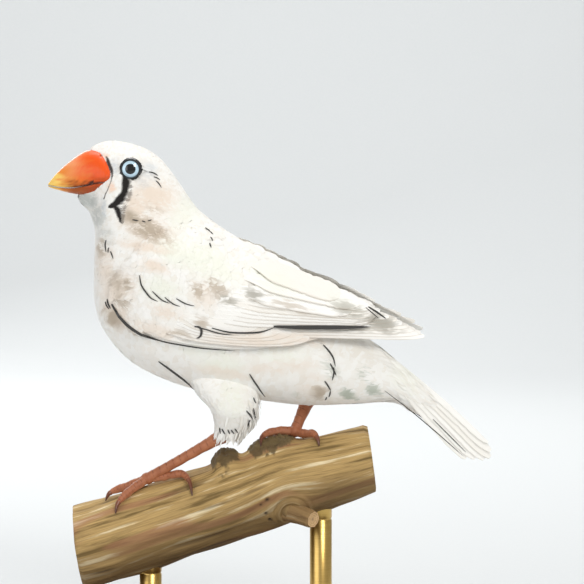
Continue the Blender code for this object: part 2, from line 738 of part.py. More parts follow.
def wing_vanes(side, work):
    """Every tier of the wing's feathers, the lowest tier first, with small seeded differences."""
    chance = np.random.default_rng(WING_SEEDS[side])
    made = []
    for tier, (blade, count, roots, tips, widths, lifts, tilt, bend) in WING_TIERS.items():
        for number in range(count):
            share = number / (count - 1)
            root = np.array(roots[0]) + (np.array(roots[1]) - np.array(roots[0])) * share
            tip = smooth_rows(np.array(tips), [share * (len(tips) - 1)])[0]
            tip = tip + chance.uniform(-0.25, 0.25, 2)
            width = np.interp(share, (0, 1), widths) * chance.uniform(0.94, 1.06)
            lift = np.interp(share, (0, 1), lifts) + chance.uniform(-0.03, 0.03)
            lean = tilt * chance.uniform(0.9, 1.1)
            made.append(wing_vane(tier, blade, root, tip, width, lift, lean, bend, side, work))
    return made


def make_wing(name, side, body_cutter, work, model):
    wing = wing_core(name, side, work)
    vanes = wing_vanes(side, work)
    boolean(wing, vanes, "UNION")
    remove(vanes)
    boolean(wing, [body_cutter], "DIFFERENCE")
    finish_node(wing, "plumage", model)


def tail_point(along, across, lift=0.0):
    """The tail's tent: along 0 to 1 from root to tip, across -1 to 1 from the left edge to the right."""
    row = smooth_rows(TAIL_STATIONS, [along * (len(TAIL_STATIONS) - 1)])[0]
    ahead = smooth_rows(TAIL_STATIONS, [min(1.0, along + 0.02) * (len(TAIL_STATIONS) - 1)])[0]
    behind = smooth_rows(TAIL_STATIONS, [max(0.0, along - 0.02) * (len(TAIL_STATIONS) - 1)])[0]
    axis = (ahead[:2] - behind[:2]) / np.linalg.norm(ahead[:2] - behind[:2])
    down = np.array([axis[1], -axis[0]])
    drop = row[3] * abs(across) ** 1.15
    place = row[:2] + down * (drop - lift)
    return np.array([place[0], across * row[2], place[1]])


def tail_vane(number, side, chance, work):
    """One tail feather: number 0 is next to the middle and lies on top, the last one is outermost."""
    place = (number + 0.35) / TAIL_FEATHERS
    end = 1.0 - 0.028 * max(0, number - 1) + chance.uniform(-0.008, 0.008)
    rows = []
    for share, spread in LONG_VANE:
        along = 0.03 + (end - 0.03) * share
        middle = place * (0.45 + 0.55 * share)
        reach = TAIL_VANE_SPREAD * max(spread, 0.4 if share < 1 else 0.3) * (0.8 + 0.2 * share)
        points = []
        for edge in (-1, 0, 1, 1, 0, -1):
            across = np.clip(middle + edge * reach, -1.0, 1.05)
            high = 0.35 - TAIL_VANE_STEP * number + 0.16 * edge
            high -= VANE_THICK if len(points) > 2 else 0.0
            points.append(tail_point(along, side * across, high))
        rows.append(np.array(points))
    return vane("rectrix", rows, work)


def make_tail(work, model):
    """Twelve feathers in a tent, fused at their roots with the coverts' core."""
    core = body_loft("tail", TAIL_CORE, 0.08, len(TAIL_CORE) - 1, work, sides=16)
    chance = np.random.default_rng(TAIL_SEED)
    vanes = [
        tail_vane(number, side, chance, work)
        for number in range(TAIL_FEATHERS) for side in (-1, 1)
    ]
    plane = slab_behind_tail(work)
    boolean(core, vanes, "UNION")
    boolean(core, [plane], "DIFFERENCE")
    remove([*vanes, plane])
    finish_node(core, "plumage", model)


def slab_behind_tail(work):
    """A block that fills the space ahead of the tail's root, so that the tail starts at a flat cut."""
    row = smooth_rows(TAIL_CORE, [0.08])[0]
    top, bottom = row[0:2], row[2:4]
    down = (bottom - top) / np.linalg.norm(bottom - top)
    ahead = np.array([down[1], -down[0]])
    corners = []
    for y in (-12.0, 12.0):
        for reach, depth in ((0.0, -14.0), (0.0, 14.0), (20.0, 14.0), (20.0, -14.0)):
            place = (top + bottom) / 2 + down * depth + ahead * reach
            corners.append((place[0], y, place[1]))
    faces = [(0, 1, 2, 3), (4, 5, 6, 7), (0, 1, 5, 4), (1, 2, 6, 5), (2, 3, 7, 6), (3, 0, 4, 7)]
    return add_mesh("tail_cut", corners, faces, work)


def make_thigh(name, side, stations, body_cutter, work, model):
    """The feathered upper leg: level slices that narrow to the ankle."""
    rows = smooth_rows(stations, np.linspace(0, len(stations) - 1, 11))
    rings = []
    turn = np.linspace(0, 2 * math.pi, 16, endpoint=False)
    for x, y, z, length, width in rows:
        rings.append(np.stack([
            x + length * np.cos(turn), side * y + width * np.sin(turn), np.full(16, z),
        ], 1))
    thigh = ring_loft(name, rings, work)
    boolean(thigh, [body_cutter], "DIFFERENCE")
    finish_node(thigh, "plumage", model)
    return thigh


def foot_joint(leg):
    x, turn = FOOT[leg]
    return perch_point(x, math.radians(turn), FOOT_LIFT)


def make_leg(leg, side, thigh, work, model):
    """The bare shank and the foot, whose four toes lie on the branch's bark."""
    ankle = np.array([ANKLE[leg][0], side * ANKLE[leg][1], ANKLE[leg][2]])
    joint = foot_joint(leg)
    along = (joint - ankle) / np.linalg.norm(joint - ankle)
    start, end = ankle - along * 0.6, joint - along * 0.2
    shares = (0.0, 0.3, 0.7, 1.0)
    shank = tube(
        "shank_" + leg, [start + (end - start) * s for s in shares], SHANK_RADII[leg], work,
    )
    foot = sphere("foot_" + leg, joint, 1.2, work, 12, 8)
    toes = []
    x0, turn0 = FOOT[leg]
    for toe, steps in TOES[leg].items():
        path = [joint]
        radii = [1.0]
        for number, (step, turn) in enumerate(steps):
            share = number / (len(steps) - 1)
            radius = TOE_RADIUS * (1.0 - 0.25 * share) if number < 3 else (0.5, 0.14)[number - 3]
            path.append(perch_point(x0 + step, math.radians(turn0 + turn), radius + 0.35))
            radii.append(radius)
        places = np.linspace(0, len(path) - 1, 13)
        smooth = smooth_rows(np.array(path), places)
        widths = np.interp(places, np.arange(len(path)), radii)
        toes.append(tube("toe_" + toe, smooth, widths, work, resolution=1))
    boolean(foot, toes, "UNION")
    remove(toes)
    ends = [swollen(thigh, GAP, work), swollen(foot, GAP, work)]
    boolean(shank, ends, "DIFFERENCE")
    remove(ends)
    finish_node(shank, "leg", model)
    finish_node(foot, "leg", model)


def main():
    clear_scene()
    model = new_collection(COLLECTION)
    work = new_collection("cutters")
    perch = make_perch(work, model)
    make_stand(perch, work, model)
    socket = make_bill(work, model)
    make_head(socket, work, model)
    body_cutter = make_body(work, model)
    make_wing("wing_left", -1, body_cutter, work, model)
    make_wing("wing_right", 1, body_cutter, work, model)
    make_tail(work, model)
    for leg, side in (("left", -1), ("right", 1)):
        thigh = make_thigh("thigh_" + leg, side, THIGH_STATIONS[leg], body_cutter, work, model)
        make_leg(leg, side, thigh, work, model)
    remove([body_cutter])


main()
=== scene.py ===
# %% [markdown]
# # The looks of a white zebra finch on its perch
# A museum model of a small bird has two sides: what holds it together and what the eye sees.
# Another script made the first side, solids of the true size, which come in here as a fixed frame.
# This lesson makes the second: a skin with a coat of separate feathers, a horn bill, glass-clear
# eyes, scaly legs, a piece of branch and a small stand. Everything is worked out in millimetres.

import math

import bpy
import numpy as np
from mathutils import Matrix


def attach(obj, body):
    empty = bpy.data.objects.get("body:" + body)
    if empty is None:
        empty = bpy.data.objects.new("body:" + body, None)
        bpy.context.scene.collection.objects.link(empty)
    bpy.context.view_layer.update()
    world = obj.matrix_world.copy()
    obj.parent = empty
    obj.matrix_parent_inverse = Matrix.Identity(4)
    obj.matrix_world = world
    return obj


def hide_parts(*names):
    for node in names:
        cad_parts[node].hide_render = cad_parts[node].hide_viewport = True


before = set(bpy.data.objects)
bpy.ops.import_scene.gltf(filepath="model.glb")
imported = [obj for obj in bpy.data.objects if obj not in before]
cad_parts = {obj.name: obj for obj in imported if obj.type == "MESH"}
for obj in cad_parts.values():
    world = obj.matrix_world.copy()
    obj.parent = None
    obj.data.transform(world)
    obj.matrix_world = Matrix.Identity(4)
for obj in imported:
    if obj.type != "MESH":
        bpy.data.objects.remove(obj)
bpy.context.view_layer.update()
MM = 0.001
print("solids in the frame:", sorted(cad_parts))

# %% [markdown]
# ## Three small tools for curves
# A real animal has no straight lines, so every shape below starts from a short table of measured
# rows and a smooth curve through them. Blender's own curves could do this too, but a formula on
# whole arrays can also be asked for any point, which the feathers need later on.

# %% Curves, steps and clouds


def smooth_rows(rows, places):
    """A Catmull-Rom curve through a table's rows, read at row numbers that need not be whole.

    Between two rows the curve is a cubic whose slope at each row is half the step from the row
    before it to the row after it.
    """
    last = len(rows) - 1
    places = np.clip(np.asarray(places, float), 0, last)
    span = np.minimum(places.astype(int), last - 1)
    t = (places - span)[..., None]
    before, start, end, after = (rows[np.clip(span + k, 0, last)] for k in (-1, 0, 1, 2))
    return 0.5 * (
        2 * start
        + (end - before) * t
        + (2 * before - 5 * start + 4 * end - after) * t**2
        + (3 * start - before - 3 * end + after) * t**3
    )


def unit(vectors):
    """Each vector divided by its own length."""
    return vectors / np.maximum(np.linalg.norm(vectors, axis=-1, keepdims=True), 1e-9)


def ease(low, high, values):
    """0 below low, 1 above high, and in between the S-curve 3t² - 2t³ of the share t."""
    t = np.clip((values - low) / (high - low), 0, 1)
    return t * t * (3 - 2 * t)


LATTICE = np.random.default_rng(7).random((128, 128))


def cloud(u, v, octaves=1):
    """Soft random values from 0 to 1 over the plane.

    A fixed table of random numbers is read at the four whole cells round (u, v) and blended by
    the S-curve. Each further octave is twice as fine and adds half as much.
    """
    total, weight = 0.0, 0.0
    for octave in range(octaves):
        a, b = u * 2.0**octave + 17.3 * octave, v * 2.0**octave + 5.1 * octave
        i, j = np.floor(a).astype(int), np.floor(b).astype(int)
        s, t = ease(0, 1, a - i), ease(0, 1, b - j)
        low = LATTICE[i % 128, j % 128] * (1 - s) + LATTICE[(i + 1) % 128, j % 128] * s
        high = LATTICE[i % 128, (j + 1) % 128] * (1 - s) + LATTICE[(i + 1) % 128, (j + 1) % 128] * s
        total = total + (low * (1 - t) + high * t) * 0.5**octave
        weight += 0.5**octave
    return total / weight


# %% [markdown]
# ## One way to make every mesh
# A feather, a toe, a bill and a branch are all the same kind of body: rings of points set along a
# line, with skin between one ring and the next and a cap at each end. So one function turns an
# array of rings into a closed mesh. It takes many bodies at once, which is how thousands of
# feathers become a single piece. The volume's sign tells whether the faces point outwards.

# %% From rings to a closed mesh


def ring_faces(bodies, rings, sides, looped=False):
    """Corner numbers of all faces: a band of quads between neighbouring rings, and two caps.

    A looped body joins its last ring to its first, as a hoop does, and has no caps.
    """
    start = np.arange(bodies)[:, None, None] * rings * sides
    ring = np.arange(rings if looped else rings - 1)[None, :, None]
    after = (ring + 1) % rings * sides
    ring = ring * sides
    side = np.arange(sides)[None, None, :]
    following = (side + 1) % sides
    quads = np.stack([
        start + ring + side, start + after + side, start + after + following,
        start + ring + following,
    ], axis=-1).reshape(-1, 4)
    if looped:
        return [quads]
    first = start[:, :, 0] + np.arange(sides)[None, :]
    last = first[:, ::-1] + (rings - 1) * sides
    return [quads, np.concatenate([first, last])]


def signed_volume(points, faces):
    """Six times the enclosed volume, with a minus sign where the faces point inwards."""
    total = 0.0
    for group in faces:
        corner = points[group[:, 0]]
        for k in range(1, group.shape[1] - 1):
            turned = np.cross(points[group[:, k]], points[group[:, k + 1]])
            total += np.einsum("ij,ij->", corner, turned)
    return total


def add_piece(name, rings, material, maps=None, marks=None, sharp=45.0, looped=False):
    """Makes one object from rings (bodies, rings, sides, 3) in millimetres.

    maps are UV maps and marks are painted values, each with one entry for a body or for a point
    (rings, sides), which then counts for every body.
    """
    rings = np.asarray(rings, float)
    if rings.ndim == 3:
        rings = rings[None]
    shape = rings.shape[:3]
    points = rings.reshape(-1, 3)
    faces = ring_faces(*shape, looped)
    if signed_volume(points, faces) < 0:
        faces = [group[:, ::-1] for group in faces]
    corners = np.concatenate([group.ravel() for group in faces])
    sizes = np.concatenate([np.full(len(group), group.shape[1]) for group in faces])
    mesh = bpy.data.meshes.new(name)
    mesh.vertices.add(len(points))
    mesh.vertices.foreach_set("co", (points * MM).astype(np.float32).ravel())
    mesh.loops.add(len(corners))
    mesh.loops.foreach_set("vertex_index", corners.astype(np.int32))
    mesh.polygons.add(len(sizes))
    mesh.polygons.foreach_set("loop_start", (np.cumsum(sizes) - sizes).astype(np.int32))
    mesh.update(calc_edges=True)
    for key, places in (maps or {}).items():
        flat = np.broadcast_to(places, (*shape, 2)).reshape(-1, 2)
        layer = mesh.uv_layers.new(name=key)
        layer.uv.foreach_set("vector", flat[corners].astype(np.float32).ravel())
    for key, values in (marks or {}).items():
        values = np.asarray(values, float)
        if values.ndim == 1:
            values = values[:, None, None]
        flat = np.broadcast_to(values, shape).ravel()
        layer = mesh.attributes.new(key, "FLOAT", "POINT")
        layer.data.foreach_set("value", flat.astype(np.float32))
    return finish_piece(name, mesh, material, sharp)


def finish_piece(name, mesh, material, sharp=45.0):
    """Names the object, gives it its material and rounded shading, and fixes it to the model."""
    mesh.shade_smooth()
    mesh.set_sharp_from_angle(angle=math.radians(sharp))
    mesh.materials.append(material)
    made = bpy.data.objects.new(name, mesh)
    bpy.context.scene.collection.objects.link(made)
    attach(made, "root")
    mesh.calc_loop_triangles()
    print(f"{name}: {len(mesh.loop_triangles)} triangles")
    return made


# %% [markdown]
# ## Materials from nodes
# A material is a small net of nodes. One function adds a node, sets its options and links it, and
# another turns a colour as a painter would write it, a hex value, into the linear light values
# that the renderer works with.

# %% Colours and nodes


def paint(code):
    """A colour written in hex, turned from screen values to linear ones by the sRGB formula."""
    values = np.array([int(code[k:k + 2], 16) / 255 for k in (1, 3, 5)])
    linear = np.where(values <= 0.04045, values / 12.92, ((values + 0.055) / 1.055) ** 2.4)
    return (*linear.tolist(), 1.0)


def add_node(tree, kind, inputs=None, **settings):
    """Adds a node. settings are its own options; inputs are values, or sockets to link."""
    made = tree.nodes.new(kind)
    for key, value in settings.items():
        setattr(made, key, value)
    for key, value in (inputs or {}).items():
        if isinstance(value, bpy.types.NodeSocket):
            tree.links.new(value, made.inputs[key])
        else:
            made.inputs[key].default_value = value
    return made


def start_material(name):
    """An empty material with its shader already joined to its output."""
    made = bpy.data.materials.new(name)
    made.use_nodes = True
    tree = made.node_tree
    tree.nodes.clear()
    shader = add_node(tree, "ShaderNodeBsdfPrincipled")
    add_node(tree, "ShaderNodeOutputMaterial", {"Surface": shader.outputs[0]})
    return made, tree, shader


# %% [markdown]
# ## Where the colours lie
# The bird is white, but no white bird is one white. It has a black tear mark below the eye, a
# fawn cheek, a blue-grey chin, and faint warm mottles on the breast and the wing. Grey shade round
# the eye and under the bill's rear, and darker grey shade on the wing, under its front edge and in
# front of the thigh, are painted in as marks too. Each mark is a row of round spots or a line with a
# width, given in the side view, so both sides carry the same. Skin and feathers ask the same
# function, so a mark never slides off the coat.

# %% The marks, in millimetres
# Lines: x, z and half width along the line. Spots: x, z, radius along, radius across, turn, strength.
MARK_LINES = {
    "tear": [
        (-23.1, 90.2, 0.52), (-23.0, 89.1, 0.60), (-23.1, 88.0, 0.54), (-23.4, 86.9, 0.54),
        (-24.1, 85.8, 0.64), (-25.0, 85.0, 0.44), (-26.2, 84.4, 0.12), (-25.1, 84.5, 0.34),
        (-24.5, 83.9, 0.46), (-24.2, 82.8, 0.34), (-23.8, 81.6, 0.16),
    ],
    "bill_line": [
        (-26.8, 93.9, 0.10), (-26.4, 92.8, 0.30), (-25.9, 91.6, 0.34), (-25.6, 90.5, 0.14),
        (-25.9, 89.2, 0.08), (-26.7, 87.2, 0.10), (-27.2, 86.0, 0.08),
    ],
    "tear_fringe": [
        (-22.6, 89.9, 0.55), (-22.4, 88.7, 0.65), (-22.5, 87.4, 0.70), (-22.8, 86.3, 0.85),
        (-23.4, 85.2, 0.90), (-23.7, 83.9, 0.65), (-23.6, 82.6, 0.45), (-23.5, 81.6, 0.25),
    ],
}
MARK_SPOTS = {
    "cream": [
        (-8.0, 74.5, 8.0, 3.5, -28, 0.9), (-14.0, 76.4, 4.5, 3.0, -20, 0.9),
        (4.0, 70.8, 7.0, 2.4, -28, 0.7), (-12.0, 83.4, 3.2, 4.6, -40, 0.7),
        (-6.0, 56.0, 7.0, 3.0, -20, 0.7), (6.0, 57.0, 6.0, 2.0, 0, 0.6),
        (-3.0, 48.0, 3.0, 5.0, 0, 0.6), (30.0, 52.0, 4.0, 3.0, -40, 0.5),
        (18.0, 66.0, 5.0, 1.6, -26, 0.5), (-16.0, 69.4, 4.4, 2.6, -10, 0.8),
    ],
    "fawn": [
        (-17.8, 86.2, 5.0, 3.8, -20, 1.0), (-21.0, 84.6, 2.6, 3.2, 0, 1.0),
        (-19.0, 80.6, 6.4, 3.0, -25, 0.9), (-19.0, 77.0, 6.0, 1.3, -8, 0.9),
        (-17.4, 73.5, 3.4, 1.3, -10, 0.9), (-27.0, 73.5, 2.4, 5.0, 0, 0.8),
        (-24.4, 69.0, 4.2, 4.6, -50, 0.8), (-24.6, 64.4, 4.2, 3.0, -45, 0.9),
        (-15.0, 65.2, 3.4, 1.6, -15, 0.7), (-17.0, 61.6, 7.0, 1.8, -14, 0.7),
        (4.0, 60.0, 15.0, 1.9, 0, 0.8), (-8.2, 68.4, 3.2, 3.0, -50, 0.6),
        (6.0, 54.5, 8.0, 1.6, 4, 0.6), (12.0, 51.0, 4.0, 2.8, 0, 0.5),
        (-4.0, 53.6, 7.0, 1.2, -10, 0.6),
    ],
    "peach": [(-25.8, 88.2, 0.9, 1.2, 0, 0.8), (-26.9, 94.0, 0.9, 0.7, 0, 0.7)],
    "chin": [
        (-31.0, 85.9, 3.6, 1.9, -20, 1.0), (-28.6, 82.8, 2.3, 3.2, 15, 0.75),
        (-26.8, 79.4, 1.9, 2.8, 20, 0.45),
    ],
    # Painted shade round the eye; the last spot is a painted shadow under the bill's rear
    "painted_shade_by_eye_and_bill": [
        (-25.1, 92.1, 1.1, 1.6, 0, 0.6), (-18.6, 91.2, 1.9, 2.0, -35, 0.5),
        (-19.6, 88.8, 1.5, 1.3, 0, 0.35), (-27.2, 84.4, 0.5, 2.0, 8, 0.6),
    ],
    "mottle": [
        (-18.6, 80.2, 5.4, 2.2, -25, 0.95), (-21.6, 82.4, 2.8, 1.5, -35, 1.0),
        (-27.7, 76.8, 1.2, 2.5, 0, 0.8), (-24.3, 70.6, 3.0, 2.3, -50, 0.7),
        (-22.4, 70.0, 1.2, 1.3, 0, 0.9), (-23.2, 67.1, 1.9, 1.6, -50, 0.75),
        (-25.6, 63.7, 2.6, 1.9, -40, 1.0), (-21.5, 61.1, 1.9, 1.0, -30, 0.9),
        (-12.7, 60.9, 2.6, 1.2, -20, 0.7), (-9.1, 69.0, 2.0, 1.8, -50, 0.8),
        (-5.7, 69.4, 3.2, 1.6, -40, 0.8), (-8.4, 63.1, 2.0, 1.2, -35, 0.8),
        (7.6, 66.2, 5.6, 1.1, -20, 0.6), (13.5, 49.7, 1.7, 1.8, -60, 0.9),
        (-17.6, 84.0, 2.2, 1.0, -18, 0.45),
    ],
    # Painted shade on the wing's coverts and near its tips, under its front edge and in front of the thigh
    "painted_shade_wing_and_thigh": [
        (-3.4, 67.1, 2.4, 0.9, -20, 0.9), (1.0, 68.3, 2.6, 1.3, -25, 0.9),
        (19.0, 64.9, 5.0, 1.8, -25, 0.75), (24.7, 62.7, 5.2, 2.0, -20, 1.0),
        (20.0, 61.8, 6.0, 0.9, -3, 0.8), (-16.5, 51.6, 3.4, 1.3, -38, 0.7),
        (-13.0, 49.4, 2.2, 0.9, -30, 0.5), (-20.0, 60.4, 3.6, 0.7, -24, 0.6),
    ],
    "green_grey": [
        (19.0, 49.1, 2.6, 1.2, -25, 0.95), (23.8, 49.8, 2.0, 1.1, -35, 0.9),
        (22.4, 52.7, 2.6, 1.6, -40, 0.6), (15.4, 54.0, 2.4, 1.4, -50, 0.5),
        (8.0, 49.0, 2.4, 1.2, 0, 0.5),
    ],
}
# The fringe is weak enough for the strokes to break it
LINE_STRENGTH = {"tear": 1.0, "bill_line": 1.0, "tear_fringe": 0.62}
MARK_NAMES = [*MARK_LINES, *MARK_SPOTS]


def marks_at(points):
    """How strongly each mark shows at points (..., 3), from 0 to 1.

    A line's mark is full up to its half width from the nearest point of the line and gone at
    one and a half times that. A spot's mark fades by the S-curve from its middle to its oval rim. Both are
    bent by a cloud, so that no edge is drawn with a compass.
    """
    x, z = points[..., 0], points[..., 2]
    bend_x, bend_z = cloud(x * 0.9, z * 0.9, 2) - 0.5, cloud(x * 0.9 + 31, z * 0.9 + 11, 2) - 0.5
    found = {}
    for name, rows in MARK_LINES.items():
        line = smooth_rows(np.array(rows), np.linspace(0, len(rows) - 1, 8 * len(rows)))
        value = np.zeros_like(x)
        for place_x, place_z, half in line:
            away = np.hypot(x + 0.25 * bend_x - place_x, z + 0.25 * bend_z - place_z) / half
            value = np.maximum(value, 1 - ease(0.8, 1.5, away))
        found[name] = value * LINE_STRENGTH[name]
    x, z = x + 0.9 * bend_x, z + 0.9 * bend_z
    for name, rows in MARK_SPOTS.items():
        value = np.zeros_like(x)
        for place_x, place_z, along, across, turn, strength in rows:
            c, s = math.cos(math.radians(turn)), math.sin(math.radians(turn))
            dx, dz = x - place_x, z - place_z
            away = np.hypot((dx * c + dz * s) / along, (dz * c - dx * s) / across)
            value = np.maximum(value, strength * (1 - ease(0.25, 1.35, away)))
        found[name] = value
    return found


print("marks:", ", ".join(MARK_NAMES))

# %% [markdown]
# ## Plumage: keratin barbs
# A feather is keratin, the stuff of nails: a shaft with hundreds of fine barbs on each side. White
# plumage is matt and very bright, because light is scattered between the barbs many times. What the
# eye reads as feathers is the fine ribbing of the barbs and a little shade where vanes overlap.
# Real barbs stand about 0.15 mm apart, which is under one pixel here, so they are drawn two to
# three times as coarse. The marks are mixed in one after another over the white. Noise drawn out along
# the lie of the feathers breaks the spots into soft strokes: a share a shows as a times
# 1.5 a + 2 noise - 1, with the last part kept between 0 and 1. Lines stay whole, but for the tear's
# rear fringe.

# %% The plumage material
PLUMAGE_WHITE = "#f6f4ef"
PLUMAGE_SHADE = "#efeae1"
MARK_COLOURS = {
    "cream": "#eff0e2",
    "fawn": "#ecddcd",
    "peach": "#f6d3b8",
    "chin": "#b9bcb7",
    # Grey painted shade by the eye and under the bill
    "painted_shade_by_eye_and_bill": "#c3cacf",
    "mottle": "#bcad9a",
    # Darker grey painted shade on the wing and by the thigh
    "painted_shade_wing_and_thigh": "#aaa69b",
    "green_grey": "#b4baac",
    # Painted shade line along the vanes' lower rims
    "vane_rim_painted_shade": "#b3a593",
    "tear_fringe": "#40362c",
    "bill_line": "#3b3430",
    "tear": "#1c1815",
}
BARB_SLANT = 1.4
# These keep half their strength between the strokes
SOFT_MARKS = ("cream", "fawn", "peach", "chin", "painted_shade_by_eye_and_bill")
STROKE_BREADTH = 0.75
STROKE_LENGTH = 3.6


def plumage_material(name, barb_pitch, barb_depth, roughness):
    """Barbed keratin: marks mixed over white, a slight shade on every feather, slanted barbs."""
    made, tree, shader = start_material(name)
    shade = add_node(tree, "ShaderNodeAttribute", attribute_name="feather_shade")
    vane = add_node(tree, "ShaderNodeUVMap", uv_map="vane")
    flow = add_node(tree, "ShaderNodeUVMap", uv_map="lie")
    parts = add_node(tree, "ShaderNodeSeparateXYZ", {0: vane.outputs[0]})
    lie = add_node(
        tree, "ShaderNodeMapping",
        {"Vector": flow.outputs[0], "Scale": (1 / STROKE_BREADTH, 1 / STROKE_LENGTH, 1.0)},
    )
    noise = add_node(
        tree, "ShaderNodeTexNoise", {"Vector": lie.outputs[0], "Scale": 1.0, "Detail": 2.0},
    )
    strokes = add_node(
        tree, "ShaderNodeMapRange", {0: noise.outputs[0], 1: 0.34, 2: 0.66},
        interpolation_type="SMOOTHSTEP",
    )
    edge = add_node(
        tree, "ShaderNodeMath", {0: strokes.outputs[0], 1: 2.0, 2: -1.0}, operation="MULTIPLY_ADD",
    )
    colour = add_node(
        tree, "ShaderNodeMix",
        {0: shade.outputs["Fac"], 6: paint(PLUMAGE_WHITE), 7: paint(PLUMAGE_SHADE)},
        data_type="RGBA",
    ).outputs[2]
    for mark, code in MARK_COLOURS.items():
        share = add_node(tree, "ShaderNodeAttribute", attribute_name=mark)
        strength = share.outputs["Fac"]
        if mark in MARK_SPOTS or mark == "tear_fringe":
            broken = add_node(
                tree, "ShaderNodeMath", {0: strength, 1: 1.5, 2: edge.outputs[0]},
                operation="MULTIPLY_ADD", use_clamp=True,
            )
            if mark in SOFT_MARKS:
                broken = add_node(tree, "ShaderNodeMapRange", {0: broken.outputs[0], 3: 0.5})
            strength = add_node(
                tree, "ShaderNodeMath", {0: strength, 1: broken.outputs[0]}, operation="MULTIPLY",
            ).outputs[0]
        colour = add_node(
            tree, "ShaderNodeMix", {0: strength, 6: colour, 7: paint(code)}, data_type="RGBA",
        ).outputs[2]
    across = add_node(tree, "ShaderNodeMath", {0: parts.outputs[0]}, operation="ABSOLUTE")
    slanted = add_node(
        tree, "ShaderNodeMath", {0: across.outputs[0], 1: BARB_SLANT, 2: parts.outputs[1]},
        operation="MULTIPLY_ADD",
    )
    turns = add_node(
        tree, "ShaderNodeMath", {0: slanted.outputs[0], 1: 2 * math.pi / barb_pitch},
        operation="MULTIPLY",
    )
    barbs = add_node(tree, "ShaderNodeMath", {0: turns.outputs[0]}, operation="SINE")
    bump = add_node(
        tree, "ShaderNodeBump",
        {"Height": barbs.outputs[0], "Strength": 0.35, "Distance": barb_depth * MM},
    )
    tree.links.new(colour, shader.inputs["Base Color"])
    tree.links.new(bump.outputs[0], shader.inputs["Normal"])
    shader.inputs["Roughness"].default_value = roughness
    shader.inputs["Specular IOR Level"].default_value = 0.25
    shader.inputs["Sheen Weight"].default_value = 0.15
    shader.inputs["Sheen Roughness"].default_value = 0.6
    return made


down_keratin = plumage_material("contour_feather_keratin", 0.30, 0.012, 0.9)
vane_keratin = plumage_material("flight_feather_keratin", 0.45, 0.035, 0.7)

# %% [markdown]
# ## The bird's own surface
# The body is one smooth run of slices, each an oval between a top and a bottom point of the side
# view. The table holds the same measures as the solids. Feather tips reach this surface, and the
# skin lies inside it by the depth of the coat: a third of a millimetre at the bill, one on the back.

# %% Body, thigh and wing tables, in millimetres
# Top x and z, bottom x and z, half width, and how much wider each slice is low down.
TRUNK = np.array([
    (-29.3, 91.1, -29.3, 91.1, 0.0, 0.00),
    (-30.3, 94.9, -32.5, 87.3, 0.9, -0.10),
    (-29.3, 96.2, -32.1, 85.3, 1.9, -0.12),
    (-26.8, 97.0, -30.6, 83.7, 3.1, -0.10),
    (-23.9, 96.8, -29.9, 82.0, 4.6, 0.00),
    (-20.1, 95.7, -29.4, 80.2, 6.5, 0.08),
    (-17.1, 93.8, -29.4, 77.6, 7.1, 0.09),
    (-14.8, 91.1, -29.5, 74.0, 7.8, 0.08),
    (-12.5, 87.8, -29.6, 70.0, 8.7, 0.06),
    (-9.9, 84.2, -29.4, 66.2, 9.9, 0.05),
    (-6.2, 81.2, -27.9, 61.4, 10.8, 0.05),
    (-1.9, 78.4, -23.2, 55.6, 11.6, 0.05),
    (2.3, 75.7, -16.1, 51.7, 11.8, 0.05),
    (6.7, 72.1, -7.6, 49.1, 11.4, 0.05),
    (12.3, 67.3, 1.5, 47.8, 10.1, 0.05),
    (18.1, 63.0, 10.4, 46.8, 8.0, 0.05),
    (22.4, 59.5, 19.0, 47.0, 5.5, 0.00),
    (25.5, 57.2, 27.0, 47.4, 3.4, 0.00),
    (29.5, 53.6, 30.8, 45.6, 3.0, 0.00),
    (33.5, 50.0, 34.0, 44.6, 2.2, 0.00),
    (36.5, 47.2, 36.6, 44.6, 1.0, 0.00),
])
TRUNK_END = len(TRUNK) - 1.0
# Slice number and the coat's depth there
COAT_DEPTH = np.array([
    (0, 0.2), (2, 0.22), (4, 0.28), (6, 0.38), (8, 0.48), (11, 0.6), (15, 0.6), (17, 0.55), (20, 0.5),
])
# Slice number and the distance from one row of feathers to the next
COAT_PITCH = np.array([
    (0, 0.30), (2, 0.32), (4, 0.42), (6, 0.56), (8, 0.74), (11, 0.98), (15, 1.12), (17, 1.15), (20, 1.1),
])
# Thigh slices: centre x, distance from the middle, z, radius along the bird, radius across it
THIGHS = {
    "left": np.array([
        (-7.2, 4.0, 57.2, 6.0, 2.8), (-4.4, 5.2, 50.2, 6.0, 3.7), (-2.9, 6.2, 46.6, 4.5, 3.6),
        (-2.8, 5.6, 44.2, 3.8, 3.0), (-3.5, 4.9, 42.4, 3.0, 2.4),
    ]),
    "right": np.array([
        (0.5, 4.0, 56.5, 5.6, 2.8), (5.6, 5.2, 51.5, 4.5, 3.6), (8.8, 6.2, 49.2, 3.2, 3.2),
        (10.2, 5.6, 48.0, 2.4, 2.5), (10.9, 5.1, 47.1, 1.9, 1.9),
    ]),
}
SIDES = {"left": -1, "right": 1}
# Wing: upper edge x, z, half width; lower edge x, z, half width; how far the sheet bulges
WING = np.array([
    (-25.1, 71.3, 8.8, -25.5, 66.8, 8.8, 0.5),
    (-19.0, 77.2, 10.5, -20.9, 61.8, 11.0, 1.4),
    (-10.4, 78.9, 8.6, -12.3, 59.1, 12.8, 2.3),
    (-0.9, 76.6, 5.0, -2.3, 58.0, 13.0, 3.3),
    (7.6, 72.8, 2.9, 6.7, 58.6, 11.9, 2.6),
    (16.1, 68.8, 1.9, 16.1, 60.3, 9.0, 1.15),
    (26.2, 63.5, 1.6, 26.2, 60.0, 5.2, 0.3),
    (32.5, 60.1, 1.8, 32.9, 59.5, 2.6, 0.0),
])
WING_LENGTH = 58.0
FAR_WING_LIFT = 1.3
FAR_WING_FROM = -6.0
EYE = (-22.2, 3.85, 91.55)
EYE_RADIUS = 2.2


